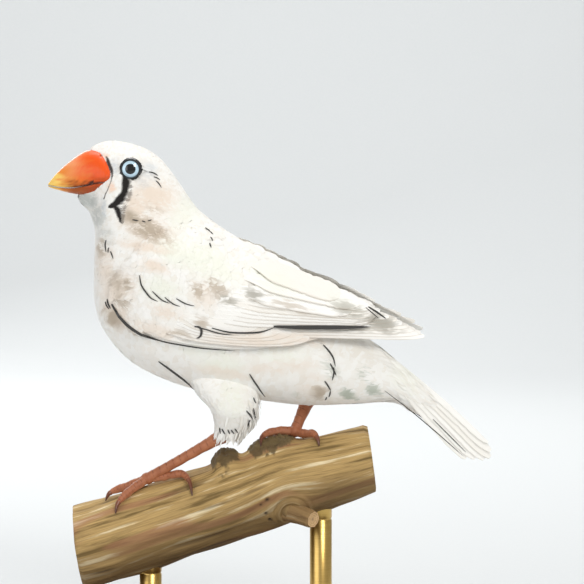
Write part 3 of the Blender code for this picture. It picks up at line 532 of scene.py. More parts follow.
def trunk_point(step, turn):
    """A point of the body: cosine of the turn along the slice's height, sine across it.

    The turn is 0 on the back and half a circle at the belly.
    """
    row = smooth_rows(TRUNK, step)
    c, s = np.cos(turn), np.sin(turn)
    centre, rise = (row[..., 0:2] + row[..., 2:4]) / 2, (row[..., 0:2] - row[..., 2:4]) / 2
    across = np.maximum(row[..., 4], 0.05) * s * (1 - row[..., 5] * c)
    return np.stack([centre[..., 0] + rise[..., 0] * c, across, centre[..., 1] + rise[..., 1] * c], -1)


def thigh_point(leg):
    """The thigh's surface as a function: level ovals, one below the other."""
    def surface(step, turn):
        row = smooth_rows(THIGHS[leg], step)
        return np.stack([
            row[..., 0] + row[..., 3] * np.cos(turn),
            SIDES[leg] * row[..., 1] + row[..., 4] * np.sin(turn),
            row[..., 2] + 0 * turn,
        ], -1)
    return surface


def wing_sheet(along, across):
    """The folded wing's outer face as (x, half width, z).

    A straight line from the upper to the lower edge, bulged by four times share times its rest.
    """
    row = smooth_rows(WING, along * (len(WING) - 1))
    x, side, z = (row[..., k] + (row[..., k + 3] - row[..., k]) * across for k in (0, 2, 1))
    return np.stack([x, side + 4 * row[..., 6] * across * (1 - across), z], -1)


def wing_place(x, z):
    """Along and across for a place of the side view: a guess from x, corrected six times."""
    along = np.interp(x, WING[:, 3], np.linspace(0, 1, len(WING)))
    for _ in range(6):
        row = smooth_rows(WING, along * (len(WING) - 1))
        across = np.clip((z - row[..., 1]) / (row[..., 4] - row[..., 1]), -0.1, 1.1)
        off = x - (row[..., 0] + (row[..., 3] - row[..., 0]) * across)
        along = np.clip(along + off / WING_LENGTH, 0, 1)
    return along, across


def wing_side(x, z):
    """How far the wing's outer face stands from the bird's middle over a place of the side view."""
    return wing_sheet(*wing_place(x, z))[..., 1]


def to_side(points, side):
    """Turns (x, half width, z) into a point of the left or right wing; the far wing lies higher."""
    rear = np.clip((points[..., 0] - FAR_WING_FROM) / (WING[-1, 0] - FAR_WING_FROM), 0, 1)
    lift = FAR_WING_LIFT * rear * (side > 0)
    return np.stack([points[..., 0], side * points[..., 1], points[..., 2] + lift], -1)


def wing_surface(side):
    """The wing's sheet on its own side of the bird."""
    def surface(along, across):
        return to_side(wing_sheet(along, across), side)
    return surface


def facing(surface, u, v, outward=1.0, tiny=1e-3):
    """A point, both tangents and the outward normal of a surface, from points a tiny step apart."""
    here = surface(u, v)
    behind = np.maximum(u - tiny, 0)
    along = (surface(behind + tiny, v) - surface(behind, v)) / tiny
    across = (surface(u, v + tiny) - here) / tiny
    return here, along, across, outward * unit(np.cross(along, across))


BODY_STEPS, BODY_TURNS = np.meshgrid(
    np.linspace(1, TRUNK_END, 260), np.linspace(0, math.pi, 100), indexing="ij",
)
BODY_GRID = trunk_point(BODY_STEPS, BODY_TURNS).reshape(-1, 3)


def body_place(x, z):
    """Slice number, turn and half width at places of the side view: a fine grid's nearest point."""
    far = (BODY_GRID[:, 0] - np.ravel(x)[:, None]) ** 2 + (BODY_GRID[:, 2] - np.ravel(z)[:, None]) ** 2
    nearest = far.argmin(axis=1)
    return BODY_STEPS.ravel()[nearest], BODY_TURNS.ravel()[nearest], BODY_GRID[nearest, 1]


# %% [markdown]
# ## The skin
# Under the feathers one continuous skin joins the head, neck, body, thighs and the root of the
# tail. It could be sculpted by hand, but the tables already know its shape, so each part is lofted,
# moved inwards by the depth of the coat, and the Remesh modifier then melts them into one skin with
# soft folds where they meet. Round the eye it swells outwards, as the orbit of a real bird does, so
# that skin and feathers meet the lid on all sides. The skin carries the coat's marks.

# %% Loft the parts and melt them together
SKIN_VOXEL = 0.5
# The skin is pressed in behind each eye, so that none of it shows inside the lids
SOCKET_RADIUS = 2.05
SOCKET_FLOOR = 4.9
LID_RADIUS = 1.76
ORBIT_LEVEL = 5.45
ORBIT_REACH = 4.0
orbit_turn = np.linspace(-math.pi, math.pi, 73)
orbit_lack = ORBIT_LEVEL - body_place(
    EYE[0] + LID_RADIUS * np.cos(orbit_turn), EYE[2] + LID_RADIUS * np.sin(orbit_turn),
)[2]
skin_steps = np.concatenate([np.linspace(0.6, 5, 30), np.linspace(5.1, TRUNK_END, 90)])
skin_turns = np.linspace(0, 2 * math.pi, 64, endpoint=False)


def orbit_swell(points):
    """How far the head swells out round the eye, by the place in the side view.

    At the lid it is what the head's half width lacks to the orbit's level in that direction. From
    there it fades by the S-curve, to nothing at the orbit's reach.
    """
    dx, dz = points[..., 0] - EYE[0], points[..., 2] - EYE[2]
    lack = np.interp(np.arctan2(dz, dx), orbit_turn, np.maximum(orbit_lack, 0))
    return lack * (1 - ease(LID_RADIUS, ORBIT_REACH, np.hypot(dx, dz)))


def sunk_loft(surface, steps, turns, depth):
    """A grid of the surface, moved inwards along its normals by the given depth at each step."""
    u, v = np.meshgrid(steps, turns, indexing="ij")
    here, _, _, normal = facing(surface, u, v)
    return here - normal * np.interp(u, depth[:, 0], depth[:, 1])[..., None]


def plain_object(name, rings):
    """A bare closed mesh from rings, used as raw material for a modifier."""
    points, faces = rings.reshape(-1, 3), ring_faces(1, *rings.shape[:2])
    if signed_volume(points, faces) < 0:
        faces = [group[:, ::-1] for group in faces]
    mesh = bpy.data.meshes.new(name)
    mesh.from_pydata((points * MM).tolist(), [], [f for group in faces for f in group.tolist()])
    made = bpy.data.objects.new(name, mesh)
    bpy.context.scene.collection.objects.link(made)
    return made


raw_parts = [plain_object("skin_trunk", sunk_loft(trunk_point, skin_steps, skin_turns, COAT_DEPTH))]
for leg in SIDES:
    steps = np.linspace(0, len(THIGHS[leg]) - 1.0, 30)
    thin = np.array([(0.0, 0.6), (4.0, 0.4)])
    raw_parts.append(plain_object("skin_thigh_" + leg, sunk_loft(thigh_point(leg), steps, skin_turns, thin)))
skin_raw = raw_parts[0]
with bpy.context.temp_override(
    active_object=skin_raw, object=skin_raw, selected_objects=raw_parts,
    selected_editable_objects=raw_parts,
):
    bpy.ops.object.join()
remesh = skin_raw.modifiers.new("melt", "REMESH")
remesh.mode, remesh.voxel_size = "VOXEL", SKIN_VOXEL * MM
soften = skin_raw.modifiers.new("soften", "SMOOTH")
soften.factor, soften.iterations = 0.5, 6
bpy.context.view_layer.update()
skin_mesh = bpy.data.meshes.new_from_object(
    skin_raw.evaluated_get(bpy.context.evaluated_depsgraph_get())
)
bpy.data.objects.remove(skin_raw)
skin_points = np.zeros(len(skin_mesh.vertices) * 3)
skin_mesh.vertices.foreach_get("co", skin_points)
skin_points = skin_points.reshape(-1, 3) / MM
skin_points[:, 1] += np.sign(skin_points[:, 1]) * orbit_swell(skin_points)
socket = np.hypot(skin_points[:, 0] - EYE[0], skin_points[:, 2] - EYE[2]) < SOCKET_RADIUS
pressed = np.sign(skin_points[socket, 1]) * np.minimum(np.abs(skin_points[socket, 1]), SOCKET_FLOOR)
skin_points[socket, 1] = pressed
skin_mesh.vertices.foreach_set("co", (skin_points * MM).astype(np.float32).ravel())
skin_mesh.update()
for mark, values in marks_at(skin_points).items():
    layer = skin_mesh.attributes.new(mark, "FLOAT", "POINT")
    layer.data.foreach_set("value", values.astype(np.float32))
skin_mesh.materials.clear()
skin = finish_piece("skin", skin_mesh, down_keratin)
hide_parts("head", "neck", "torso", "thigh_left", "thigh_right")

# %% [markdown]
# ## How a feather is laid
# A body feather is rooted in the skin and runs towards the tail, under the tips of the next rows,
# until only its last third shows. So each one is walked over the surface from its root, rising
# through the coat. Its cross-section is a thin curved roof with a keel below, its end is round, and
# the barbs at the end stick together in points of uneven length. All feathers of a piece are
# worked out as one array.

# %% Walks, blades and rows of roots
CONTOUR_SHARES = np.array([0.0, 0.3, 0.55, 0.75, 0.88, 0.96, 1.0])
CONTOUR_BREADTH = np.array([0.35, 0.8, 1.0, 0.96, 0.78, 0.48, 0.14])


def walk(surface, u, v, length, swerve, limit, outward=1.0):
    """The middle line of each feather: steps of the right length over the surface.

    At each step the tangents tell how many millimetres one unit of u and of v is worth there.
    Past the surface's end the walk goes straight on.
    """
    u, v = u.copy(), v.copy()
    lines, normals = [], []
    gone = 0.0
    for share in CONTOUR_SHARES:
        inside = np.minimum(u, limit)
        here, along, across, normal = facing(surface, inside, v, outward)
        lines.append(here + along * (u - inside)[:, None])
        normals.append(normal)
        forward = (CONTOUR_SHARES[min(len(lines), len(CONTOUR_SHARES) - 1)] - share) * length
        gone += forward
        u = u + forward * np.cos(swerve) / np.maximum(np.linalg.norm(along, axis=-1), 0.2)
        v = v + forward * np.sin(swerve) / np.maximum(np.linalg.norm(across, axis=-1), 0.2)
    return np.stack(lines, 1), np.stack(normals, 1)


def blades(
    lines, normals, half, rise, columns, chance, fray=0.7, camber=0.3, thick=0.12,
    share=CONTOUR_SHARES, profile=CONTOUR_BREADTH,
):
    """Closed blades round middle lines (feathers, rows, 3): a curved roof and a keel line.

    Across the blade, u goes from -1 to 1. A point lies u half widths to the side, is lifted by
    rise, and by camber times 1 - u². Towards the end it is drawn back by u², which rounds the
    tip, and by a random share for each column, which splits it.
    """
    ahead = unit(np.gradient(lines, axis=1))
    side = unit(np.cross(normals, ahead))
    u = np.linspace(-1, 1, columns)
    breadth = half[:, None] * profile
    split = chance.uniform(0, 0.6, (len(lines), columns)) + 0.4 * (np.arange(columns) % 2)
    run = np.linalg.norm(lines[:, -1] - lines[:, 0], axis=-1)
    back = (0.05 * u**2 + 0.1 * fray * split)[:, None, :] * (run[:, None] * share**3)[:, :, None]
    height = rise[:, :, None] + camber * (breadth[:, :, None] * (1 - u**2))
    roof = (
        lines[:, :, None] + side[:, :, None] * (breadth[:, :, None] * u)[..., None]
        + normals[:, :, None] * height[..., None] - ahead[:, :, None] * back[..., None]
    )
    depth = thick * (1 - 0.6 * share)
    keel = roof[:, :, columns // 2] - normals * depth[None, :, None]
    rings = np.concatenate([roof, keel[:, :, None]], axis=2)
    middle = np.append(u, 0.0)
    vane = np.stack([
        breadth[:, :, None] * middle,
        np.broadcast_to((run[:, None] * share)[:, :, None], (*breadth.shape, columns + 1)),
    ], -1)
    return rings, vane


def root_rows(surface, first, last, pitch_at, chance, turns=(-math.pi, math.pi), closed=True):
    """Roots in staggered rows: evenly spaced round each row's arc, then nudged by chance."""
    v_fine = np.linspace(*turns, 181)
    found = []
    u, odd = first, 0
    while u < last:
        ring = surface(np.full(181, u), v_fine)
        speed = np.linalg.norm(surface(np.full(181, u + 0.01), v_fine) - ring, axis=-1).mean() / 0.01
        arc = np.append(0, np.cumsum(np.linalg.norm(np.diff(ring, axis=0), axis=-1)))
        pitch = pitch_at(u)
        count = max(3, int(round(arc[-1] / (pitch * 0.85))))
        even = (np.arange(count) + 0.5 * (odd % 2) + chance.uniform(-0.3, 0.3, count)) / count
        even = even % 1.0 if closed else np.clip(even, 0, 1)
        v = np.interp(even * arc[-1], arc, v_fine)
        us = u + chance.uniform(-0.35, 0.35, count) * pitch / speed
        found.append(np.stack([us, v, np.full(count, pitch)], 1))
        u, odd = u + pitch / speed, odd + 1
    return np.concatenate(found).T


def bake_places(u, v, vane, half):
    """A patch 0.003 across for each feather, at its root's place on the surface's own map."""
    scale = 0.003 / (np.abs(vane).max(axis=(1, 2)) + 1e-6)
    return np.stack([u, v], -1)[:, None, None] * 0.99 + vane * scale[:, None, None]


# Slice number and how far the lie turns up from the slices' own run, in radians
LIE_TURN = np.array([(0, 0.0), (3, 0.10), (4.5, 0.35), (6, 0.50), (8, 0.50), (10, 0.25), (12, 0.0), (20, 0.0)])
lie_steps = np.linspace(0, TRUNK_END, 400)
LIE_SUM = np.cumsum(np.tan(np.interp(lie_steps, *LIE_TURN.T))) * (lie_steps[1] - lie_steps[0])


def body_lie(u, v):
    """The turn of the lie on the trunk: the table's value times the sine of the way round."""
    return -np.sign(v) * np.interp(u, *LIE_TURN.T) * np.sin(np.abs(v))


def body_flow(u, v):
    """Across and along the lie in about millimetres; lines of equal first value follow the lie."""
    bent = np.interp(u, lie_steps, LIE_SUM) * np.sin(np.abs(v))
    return np.stack([10.0 * np.abs(v) + 4.5 * bent + 50.0 * (v > 0), 4.5 * u], -1)


def contour_coat(name, surface, u, v, pitch, rise_to, chance, **form):
    """One piece of coat from its roots: lengths, widths, rises and marks for every feather."""
    length = pitch * form.get("reach", 4.2) * chance.uniform(0.88, 1.12, len(u))
    swerve = chance.uniform(-1, 1, len(u)) * form.get("unrest", 0.12)
    swerve = swerve + (form["turn"](u, v) if "turn" in form else 0.0)
    limit, outward = form.get("limit", TRUNK_END), form.get("outward", 1.0)
    if "room" in form:
        length = form["room"](surface, u, v, length)
    lines, normals = walk(surface, u, v, length, swerve, limit, outward)
    depth = rise_to * chance.uniform(0.97, 1.0, len(u))
    rise = depth[:, None] * (1.0 - 1.12 * (1 - CONTOUR_SHARES) ** 3) - rise_to[:, None] - 0.03
    rise = rise + form.get("flare", 0.0) * CONTOUR_SHARES**2
    half = pitch * form.get("breadth", 0.95) * chance.uniform(0.85, 1.15, len(u))
    rings, vane = blades(
        lines, normals, half, rise, form.get("columns", 5), chance,
        form.get("fray", 0.5), form.get("camber", 0.05), form.get("thick", 0.05),
    )
    keep = form["keep"](lines, normals) if "keep" in form else np.ones(len(u), bool)
    keep = keep & (length > 0.3)
    rings, vane, half, lines = rings[keep], vane[keep], half[keep], lines[keep]
    if "drape" in form:
        rings = form["drape"](rings)
    blot = form.get("blot", 1.0)
    middle = lines[:, -2][:, None, None]
    marks = marks_at(middle if blot == 1.0 else middle * blot + rings * (1 - blot))
    marks["feather_shade"] = chance.uniform(0, 1, len(rings)) ** 2
    spot = form["spot"](u[keep], v[keep])
    own_u, own_v = u[keep, None, None], v[keep, None, None]
    _, along, across, _ = facing(surface, u[keep], v[keep])
    ahead = vane[..., 1] / np.maximum(np.linalg.norm(along, axis=-1), 0.2)[:, None, None]
    aside = vane[..., 0] / np.maximum(np.linalg.norm(across, axis=-1), 0.2)[:, None, None]
    flow = form.get("flow", body_flow)(own_u + ahead, own_v + aside * form.get("handed", 1.0))
    maps = {"vane": vane, "lie": flow, "OFBake": bake_places(*spot, vane, half)}
    return add_piece(name, rings, down_keratin, maps, marks)


# %% [markdown]
# ## The body's coat
# Rows run from the bill to the tail. On the face the feathers are no longer than a millimetre and
# stand close; on the back, breast and belly they are five times as long. None grows where the eye
# or the bill is, and those that the folded wing would hide are left out.

# %% Lay the coat from bill to tail
BILL = np.array([
    (-38.2, 88.85, 88.55, 88.30, 0.22), (-37.5, 89.75, 88.40, 88.00, 0.75),
    (-36.3, 91.10, 88.20, 87.65, 1.35), (-33.9, 93.20, 88.05, 87.05, 2.35),
    (-31.2, 94.95, 88.40, 86.60, 3.20), (-28.8, 95.20, 88.90, 86.30, 4.05),
    (-27.4, 94.40, 89.00, 86.40, 4.55), (-26.1, 92.60, 89.00, 87.40, 4.80),
])


def in_bill(points, slack):
    """True inside the bill: nearer to its middle line than its oval slice at that x."""
    x, y, z = points[..., 0], points[..., 1], points[..., 2]
    top, bottom, half = (np.interp(x, BILL[:, 0], BILL[:, k]) for k in (1, 3, 4))
    level = (z - (top + bottom) / 2) / ((top - bottom) / 2 + slack)
    return (np.hypot(level, y / (half + slack)) < 1) & (x < BILL[-1, 0] + slack)


def near_eye(points, reach):
    """True over the eye: closer to the line through both eyes than the reach."""
    return np.hypot(points[..., 0] - EYE[0], points[..., 2] - EYE[2]) < reach


def under_wing(points):
    """True well inside the folded wing's outline in the side view, and not on the back's ridge."""
    along, across = wing_place(points[..., 0], points[..., 2])
    inside = (along > 0.07) & (along < 0.9) & (across > 0.14) & (across < 0.93)
    return inside & (np.abs(points[..., 1]) < wing_side(points[..., 0], points[..., 2]) + 0.5)


def keep_on_body(lines, normals):
    """Leaves out what would cross the eye or the bill, and what the wing hides."""
    blocked = near_eye(lines, 1.95).any(axis=1) | in_bill(lines[:, 1:], 0.05).any(axis=1)
    return ~(blocked | under_wing(lines[:, 0]) & under_wing(lines[:, -1]))


def room_to_eye(surface, u, v, length):
    """Shortens a feather that would run over the eye, so that its tip ends at the lid.

    In the side view a ray starts at the root along the lie. It meets the lid's circle after
    t = -b - √(b² - c), with b the root's offset along the ray and c its squared offset minus R².
    """
    here, along, _, _ = facing(surface, u, v)
    offset = here[:, [0, 2]] - np.array((EYE[0], EYE[2]))
    ahead = unit(along[:, [0, 2]])
    b = (offset * ahead).sum(axis=1)
    c = (offset**2).sum(axis=1) - 2.05**2
    root = np.sqrt(np.maximum(b**2 - c, 0))
    meets = (b**2 > c) & (b < 0)
    return np.where(meets, np.minimum(length, np.maximum(-b - root, 0)), length)


def drape_over_wing(rings):
    """Lifts feathers of the neck and breast over the wing's front edge, more towards the tip.

    Every ring of a feather is moved as a whole, so the feather keeps its thickness.
    """
    first = rings[:, 0, 0]
    close = (first[:, 0] > -29) & (first[:, 0] < -8) & (first[:, 2] > 69) & ~under_wing(first)
    part = rings[close]
    along, across = wing_place(part[..., 0], part[..., 2])
    inside = (along > 0.0) & (along < 0.5) & (across > -0.05) & (across < 1.02)
    x, y, z = part[..., 0], part[..., 1], part[..., 2]
    over = 0.16 * cloud(first[close, 0] * 2.1, first[close, 2] * 2.1, 2)[:, None, None]
    short = np.where(inside, np.clip(wing_side(x, z) + over - np.abs(y), 0, 3.0), 0)
    share = ease(0.05, 0.55, CONTOUR_SHARES)[None, :]
    shift = short.max(axis=2) * share
    part[..., 1] = y + np.sign(y) * shift[..., None]
    rings[close] = part
    return rings


def swell_round_eye(rings):
    """Moves every ring of a feather outwards as a whole, by the swell at the ring's middle."""
    shift = orbit_swell(rings.mean(axis=2))
    rings[..., 1] += np.sign(rings[..., 1]) * shift[..., None]
    return rings


chance = np.random.default_rng(31)
coat_u, coat_v, coat_pitch = root_rows(
    trunk_point, 1.0, TRUNK_END - 0.6, lambda u: np.interp(u, COAT_PITCH[:, 0], COAT_PITCH[:, 1]), chance,
)
coat_depth = np.interp(coat_u, COAT_DEPTH[:, 0], COAT_DEPTH[:, 1])
BODY_COATS = {
    "coat_face": (0.0, 4.3, 5, {
        "reach": 3.6, "blot": 0.15, "room": room_to_eye, "drape": swell_round_eye,
    }),
    "coat_head": (4.3, 7.0, 5, {
        "reach": 3.9, "blot": 0.2, "room": room_to_eye, "drape": swell_round_eye,
    }),
    "coat_neck": (7.0, 9.0, 5, {"blot": 0.25, "drape": drape_over_wing}),
    "coat_breast": (9.0, 10.6, 5, {"blot": 0.25, "drape": drape_over_wing}),
    "coat_belly": (10.6, 12.6, 5, {"blot": 0.3}),
    "coat_flank": (12.6, 14.8, 7, {"blot": 0.3}),
    "coat_rump": (14.8, 21.0, 7, {"reach": 4.6, "blot": 0.3}),
}
for name, (first, last, columns, form) in BODY_COATS.items():
    own = (coat_u >= first) & (coat_u < last)
    contour_coat(
        name, trunk_point, coat_u[own], coat_v[own], coat_pitch[own], coat_depth[own], chance,
        columns=columns, keep=keep_on_body, turn=body_lie,
        spot=lambda u, v: (u / TRUNK_END, v / (2 * math.pi) + 0.5), **form,
    )

# %% [markdown]
# ## The thighs' coat
# A finch's thigh is a loose bag of soft feathers that ends in a ragged hem above the bare shank.
# Rows run downwards, and a looser layer of narrow feathers stands out at the back and over the hem.

# %% Lay the thighs' coat


def inside_body(points, slack):
    """True inside the trunk: the slice through the point is found by its place along the bird."""
    steps = np.linspace(8, TRUNK_END, 140)
    rows = smooth_rows(TRUNK, steps)
    top, bottom = rows[:, 0:2], rows[:, 2:4]
    flat = points.reshape(-1, 3)
    reach = flat[:, None, [0, 2]] - bottom
    line = top - bottom
    ahead = line[:, 0] * reach[..., 1] - line[:, 1] * reach[..., 0] > 0
    found = np.clip(ahead.argmax(axis=1), 0, len(steps) - 1)
    share = 2 * np.einsum("ij,ij->i", reach[np.arange(len(flat)), found], line[found])
    share = share / np.einsum("ij,ij->i", line[found], line[found]) - 1
    half = rows[found, 4] * np.sqrt(np.clip(1 - share**2, 0, 1))
    return ((np.abs(flat[:, 1]) < half - slack) & (np.abs(share) < 1)).reshape(points.shape[:-1])


THIGH_PITCH = {"left": 0.82, "right": 0.6}
HEM_LEVEL = {"left": 37.5, "right": 46.3}
for leg, side in SIDES.items():
    surface, end = thigh_point(leg), len(THIGHS[leg]) - 1.0
    chance = np.random.default_rng(41 + side)
    over = {
        "limit": end, "spot": lambda u, v: (u / 4.2, v / (2 * math.pi) + 0.5),
        "flow": lambda u, v: np.stack([4.0 * v, 3.5 * u], -1),
        "keep": lambda lines, normals: (
            ~inside_body(lines, 0.8).all(axis=1) & (lines[:, :, 2].min(axis=1) > HEM_LEVEL[leg])
        ),
    }
    u, v, pitch = root_rows(surface, 0.0, end, lambda u: THIGH_PITCH[leg], chance)
    contour_coat(
        "coat_thigh_" + leg, surface, u, v, pitch, np.interp(u, (0, 4), (0.6, 0.4)), chance,
        reach=3.8, unrest=0.16, fray=1.2, columns=5, **over,
    )
    hem_u = np.concatenate([chance.uniform(0.9, 3.9, 150), chance.uniform(3.2, 4.0, 110)])
    hem_v = np.concatenate([chance.normal(0, 0.55, 150), chance.uniform(-math.pi, math.pi, 110)])
    shrink = 1.0 if leg == "left" else 0.45
    contour_coat(
        "hem_thigh_" + leg, surface, hem_u, hem_v, np.full(260, shrink), np.full(260, 0.35), chance,
        reach=3.6, breadth=0.17, unrest=0.3, columns=3, flare=0.7 * shrink, **over,
    )

# %% [markdown]
# ## Flank feathers over the vent
# Behind the thigh the long flank feathers end in a frayed line, and shorter vent feathers come out
# from under them. So one more row is laid over the coat there: longer, looser and a little lifted,
# with its tips on that line of the side view.

# %% Lay the flank's frayed edge
# Tips of the row in the side view: x and z
FLANK_EDGE = np.array([
    (11.8, 60.0), (14.0, 58.6), (15.4, 56.0), (16.0, 53.6), (15.6, 51.4), (14.6, 49.6), (13.2, 48.6),
])
FLANK_LENGTH = 5.2
FLANK_COUNT = 64
for flank, side in SIDES.items():
    chance = np.random.default_rng(71 + side)
    tips = smooth_rows(FLANK_EDGE, np.linspace(0, len(FLANK_EDGE) - 1, FLANK_COUNT))
    tips = tips + chance.normal(0, 0.22, tips.shape)
    u, v, _ = body_place(tips[:, 0] - 0.92 * FLANK_LENGTH, tips[:, 1] + 0.34 * FLANK_LENGTH)
    contour_coat(
        "flank_edge_" + flank, trunk_point, u, side * v, np.full(FLANK_COUNT, 1.0),
        np.full(FLANK_COUNT, 0.45), chance,
        reach=FLANK_LENGTH, breadth=0.6, unrest=0.08, columns=7, fray=1.3, flare=0.16, blot=0.3,
        spot=lambda u, v: (u / TRUNK_END, v / (2 * math.pi) + 0.5),
    )

# %% [markdown]
# ## The wings
# A folded wing is a stack of blinds: small coverts on the shoulder, then larger coverts, then the
# long secondaries and primaries, each row lying over the next. The small coverts are laid like the
# coat. The long feathers are wide vanes with a shaft, so they get grids of their own: rows along
# the feather, columns across it, a ridge for the shaft and edges that are slightly notched. A thin
# line of painted shade darkens each vane's lower rim, where it lies over the next.

# %% Vanes of the wing
VANE_ROWS = 40
VANE_COLUMNS = 11
# Strength of the painted shade line along each vane's lower rim, where it lies over the next
RIM_SHADE_STRENGTH = 0.55
# Count, line of roots, line of tips, widths, lifts off the sheet, tilt, bend: first to last feather
WING_TIERS = {
    "primary": (
        9, ((-9.0, 61.6), (-3.0, 65.0)),
        ((32.9, 59.9), (31.4, 61.2), (28.9, 62.6), (26.4, 63.9), (23.6, 65.2)),
        (2.0, 2.2), (0.02, 0.36), 0.10, -0.35,
    ),
    "primary_covert": (
        6, ((-18.0, 62.6), (-13.5, 65.2)), ((11.4, 60.0), (8.6, 61.0), (5.2, 61.9), (1.6, 62.6)),
        (2.4, 2.3), (0.28, 0.46), 0.12, 1.15,
    ),
    "secondary": (
        8, ((-9.0, 64.2), (-3.0, 69.6)), ((22.6, 63.0), (23.6, 64.0), (23.8, 65.0), (22.6, 66.0)),
        (2.6, 3.0), (0.56, 0.74), 0.12, 0.15,
    ),
    "tertial": (
        3, ((-2.5, 69.4), (0.6, 73.9)), ((19.2, 65.2), (20.9, 66.2), (17.2, 67.9)),
        (3.8, 3.6), (0.80, 0.90), 0.12, 0.1,
    ),
}


def vane_breadth(share):
    """Half breadth along a vane: a narrow root, a long even middle and a round end."""
    end = np.clip((share - 0.8) / 0.2, 0, 1)
    return (0.35 + 0.65 * ease(0, 0.3, share)) * np.sqrt(np.maximum(1 - 0.93 * end**2.2, 0.02))


def vane_tier(roots, tips, width, lift, tilt, bend, chance):
    """Rings of whole vanes in (x, height over the sheet, z): roof columns, then the same below."""
    share = 1 - (1 - np.linspace(0, 1, VANE_ROWS)) ** 1.5
    u = np.linspace(-1, 1, VANE_COLUMNS)
    line = roots[:, None] + (tips - roots)[:, None] * share[None, :, None]
    ahead = unit(tips - roots)
    across = np.stack([ahead[:, 1], -ahead[:, 0]], -1)
    line = line + across[:, None] * (bend * 4 * share * (1 - share))[None, :, None]
    notch = chance.random((len(roots), VANE_ROWS, VANE_COLUMNS)) ** 8 * (np.abs(u) > 0.9) * 0.12
    reach = (width[:, None] / 2 * vane_breadth(share))[:, :, None] * u * (1 - notch)
    place = line[:, :, None] + across[:, None, None] * reach[..., None]
    ridge = 0.07 * np.exp(-((u / 0.12) ** 2)) * (1 - share[:, None]) ** 0.5
    sunk = 0.9 * np.maximum(0, 1 - share / 0.3) ** 2
    cup = 0.05 * (1 - u**2)
    high = lift[:, None, None] + tilt * reach + ridge + cup - sunk[None, :, None]
    low = high - 0.14 - 0.08 * (1 - u**2)
    flip = slice(None, None, -1)
    places = np.concatenate([place, place[:, :, flip]], axis=2)
    heights = np.concatenate([high, low[:, :, flip]], axis=2)
    vane = np.stack([
        np.concatenate([reach, reach[:, :, flip]], axis=2),
        np.broadcast_to(share[None, :, None] * np.linalg.norm(tips - roots, axis=-1)[:, None, None],
                        heights.shape),
    ], -1)
    return places, heights, vane


def wing_vanes(tier, side, chance):
    """One tier of a wing, with small seeded differences from feather to feather."""
    count, roots, tips, widths, lifts, tilt, bend = WING_TIERS[tier]
    share = np.linspace(0, 1, count)
    root = np.array(roots[0]) + (np.array(roots[1]) - np.array(roots[0])) * share[:, None]
    tip = smooth_rows(np.array(tips), share * (len(tips) - 1)) + chance.uniform(-0.2, 0.2, (count, 2))
    width = np.interp(share, (0, 1), widths) * chance.uniform(0.94, 1.06, count)
    lift = np.interp(share, (0, 1), lifts)
    places, heights, vane = vane_tier(root, tip, width, lift, tilt, bend, chance)
    x, z = places[..., 0], places[..., 1]
    points = np.stack([x, wing_side(x, z) + heights, z], -1)
    return to_side(points, side), vane


def add_vanes(name, rings, vane, spots, chance, rim=RIM_SHADE_STRENGTH):
    """A piece of whole vanes, marked point by point because they are long; a line of painted shade darkens the lower
    rims.
    """
    marks = marks_at(rings)
    marks["feather_shade"] = chance.uniform(0, 1, len(rings)) ** 2
    edge = np.arange(VANE_COLUMNS) == VANE_COLUMNS - 1
    marks["vane_rim_painted_shade"] = rim * np.concatenate([edge, edge[::-1]]) + 0 * rings[..., 0]
    flow = vane + 6.0 * np.arange(len(rings))[:, None, None, None] * np.array((1.0, 0.0))
    maps = {"vane": vane, "lie": flow, "OFBake": bake_places(*spots, vane, None)}
    return add_piece(name, rings, vane_keratin, maps, marks, 30)


for wing, side in SIDES.items():
    chance = np.random.default_rng(51 + side)
    along, across = np.meshgrid(np.linspace(0.01, 0.9, 40), np.linspace(0.02, 0.98, 24), indexing="ij")
    outer = wing_sheet(along, across)
    thick = 1.5 * (1 - 0.75 * along) * np.minimum(1, 0.35 + 5 * along)
    sheet = np.concatenate([outer, outer[:, ::-1]], axis=1)
    sheet[..., 1] -= np.concatenate([0.25 + 0 * thick, thick[:, ::-1]], axis=1)
    arm_points = to_side(sheet, side)
    arm_marks = marks_at(arm_points)
    flat_vane = np.stack([sheet[..., 2], sheet[..., 0]], -1)
    arm = add_piece("wing_arm_" + wing, arm_points, down_keratin,
                    {"vane": flat_vane, "lie": flat_vane},
                    {key: value[None] for key, value in arm_marks.items()})
    for tier in WING_TIERS:
        rings, vane = wing_vanes(tier, side, chance)
        where = np.linspace(0, 1, len(rings))
        piece = add_vanes(f"{tier}_vanes_{wing}", rings, vane, (where, 0.5 + 0 * where), chance)
    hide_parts("wing_" + wing)
    u, v, pitch = root_rows(
        wing_surface(side), 0.0, 0.56, lambda u: 0.70 + 0.8 * u, chance, (-0.05, 1.0), closed=False,
    )
    shown = v < np.interp(u, (0.0, 0.10, 0.24, 0.34, 0.44, 0.56), (1.0, 1.0, 0.86, 0.66, 0.56, 0.30))
    u, v, pitch = u[shown], v[shown], pitch[shown]
    contour_coat(
        "coverts_" + wing, wing_surface(side), u, v, pitch, np.full(len(u), 0.3), chance,
        limit=1.0, outward=side, reach=3.8, columns=7, blot=0.3, flare=0.12,
        turn=lambda u, v: 0.05, flow=lambda u, v: np.stack([14.0 * v + 9.0, WING_LENGTH * u], -1),
        spot=lambda u, v: (u, v),
    )

# %% [markdown]
# ## The tail
# Twelve tail feathers lie in a low tent, the middle pair on top. They are vanes like those of the
# wing, but laid on the tent's own surface, which drops to both sides of a ridge.

# %% Vanes of the tail
# Ridge x, z, half width and drop of the sides
TAIL = np.array([
    (24.8, 57.3, 2.8, 3.2), (34.0, 49.9, 4.2, 5.0), (40.0, 44.6, 4.6, 4.8), (46.2, 38.6, 4.8, 4.4),
    (52.4, 32.6, 4.9, 4.0),
])
TAIL_LAST = 3
TAIL_FEATHERS = 6
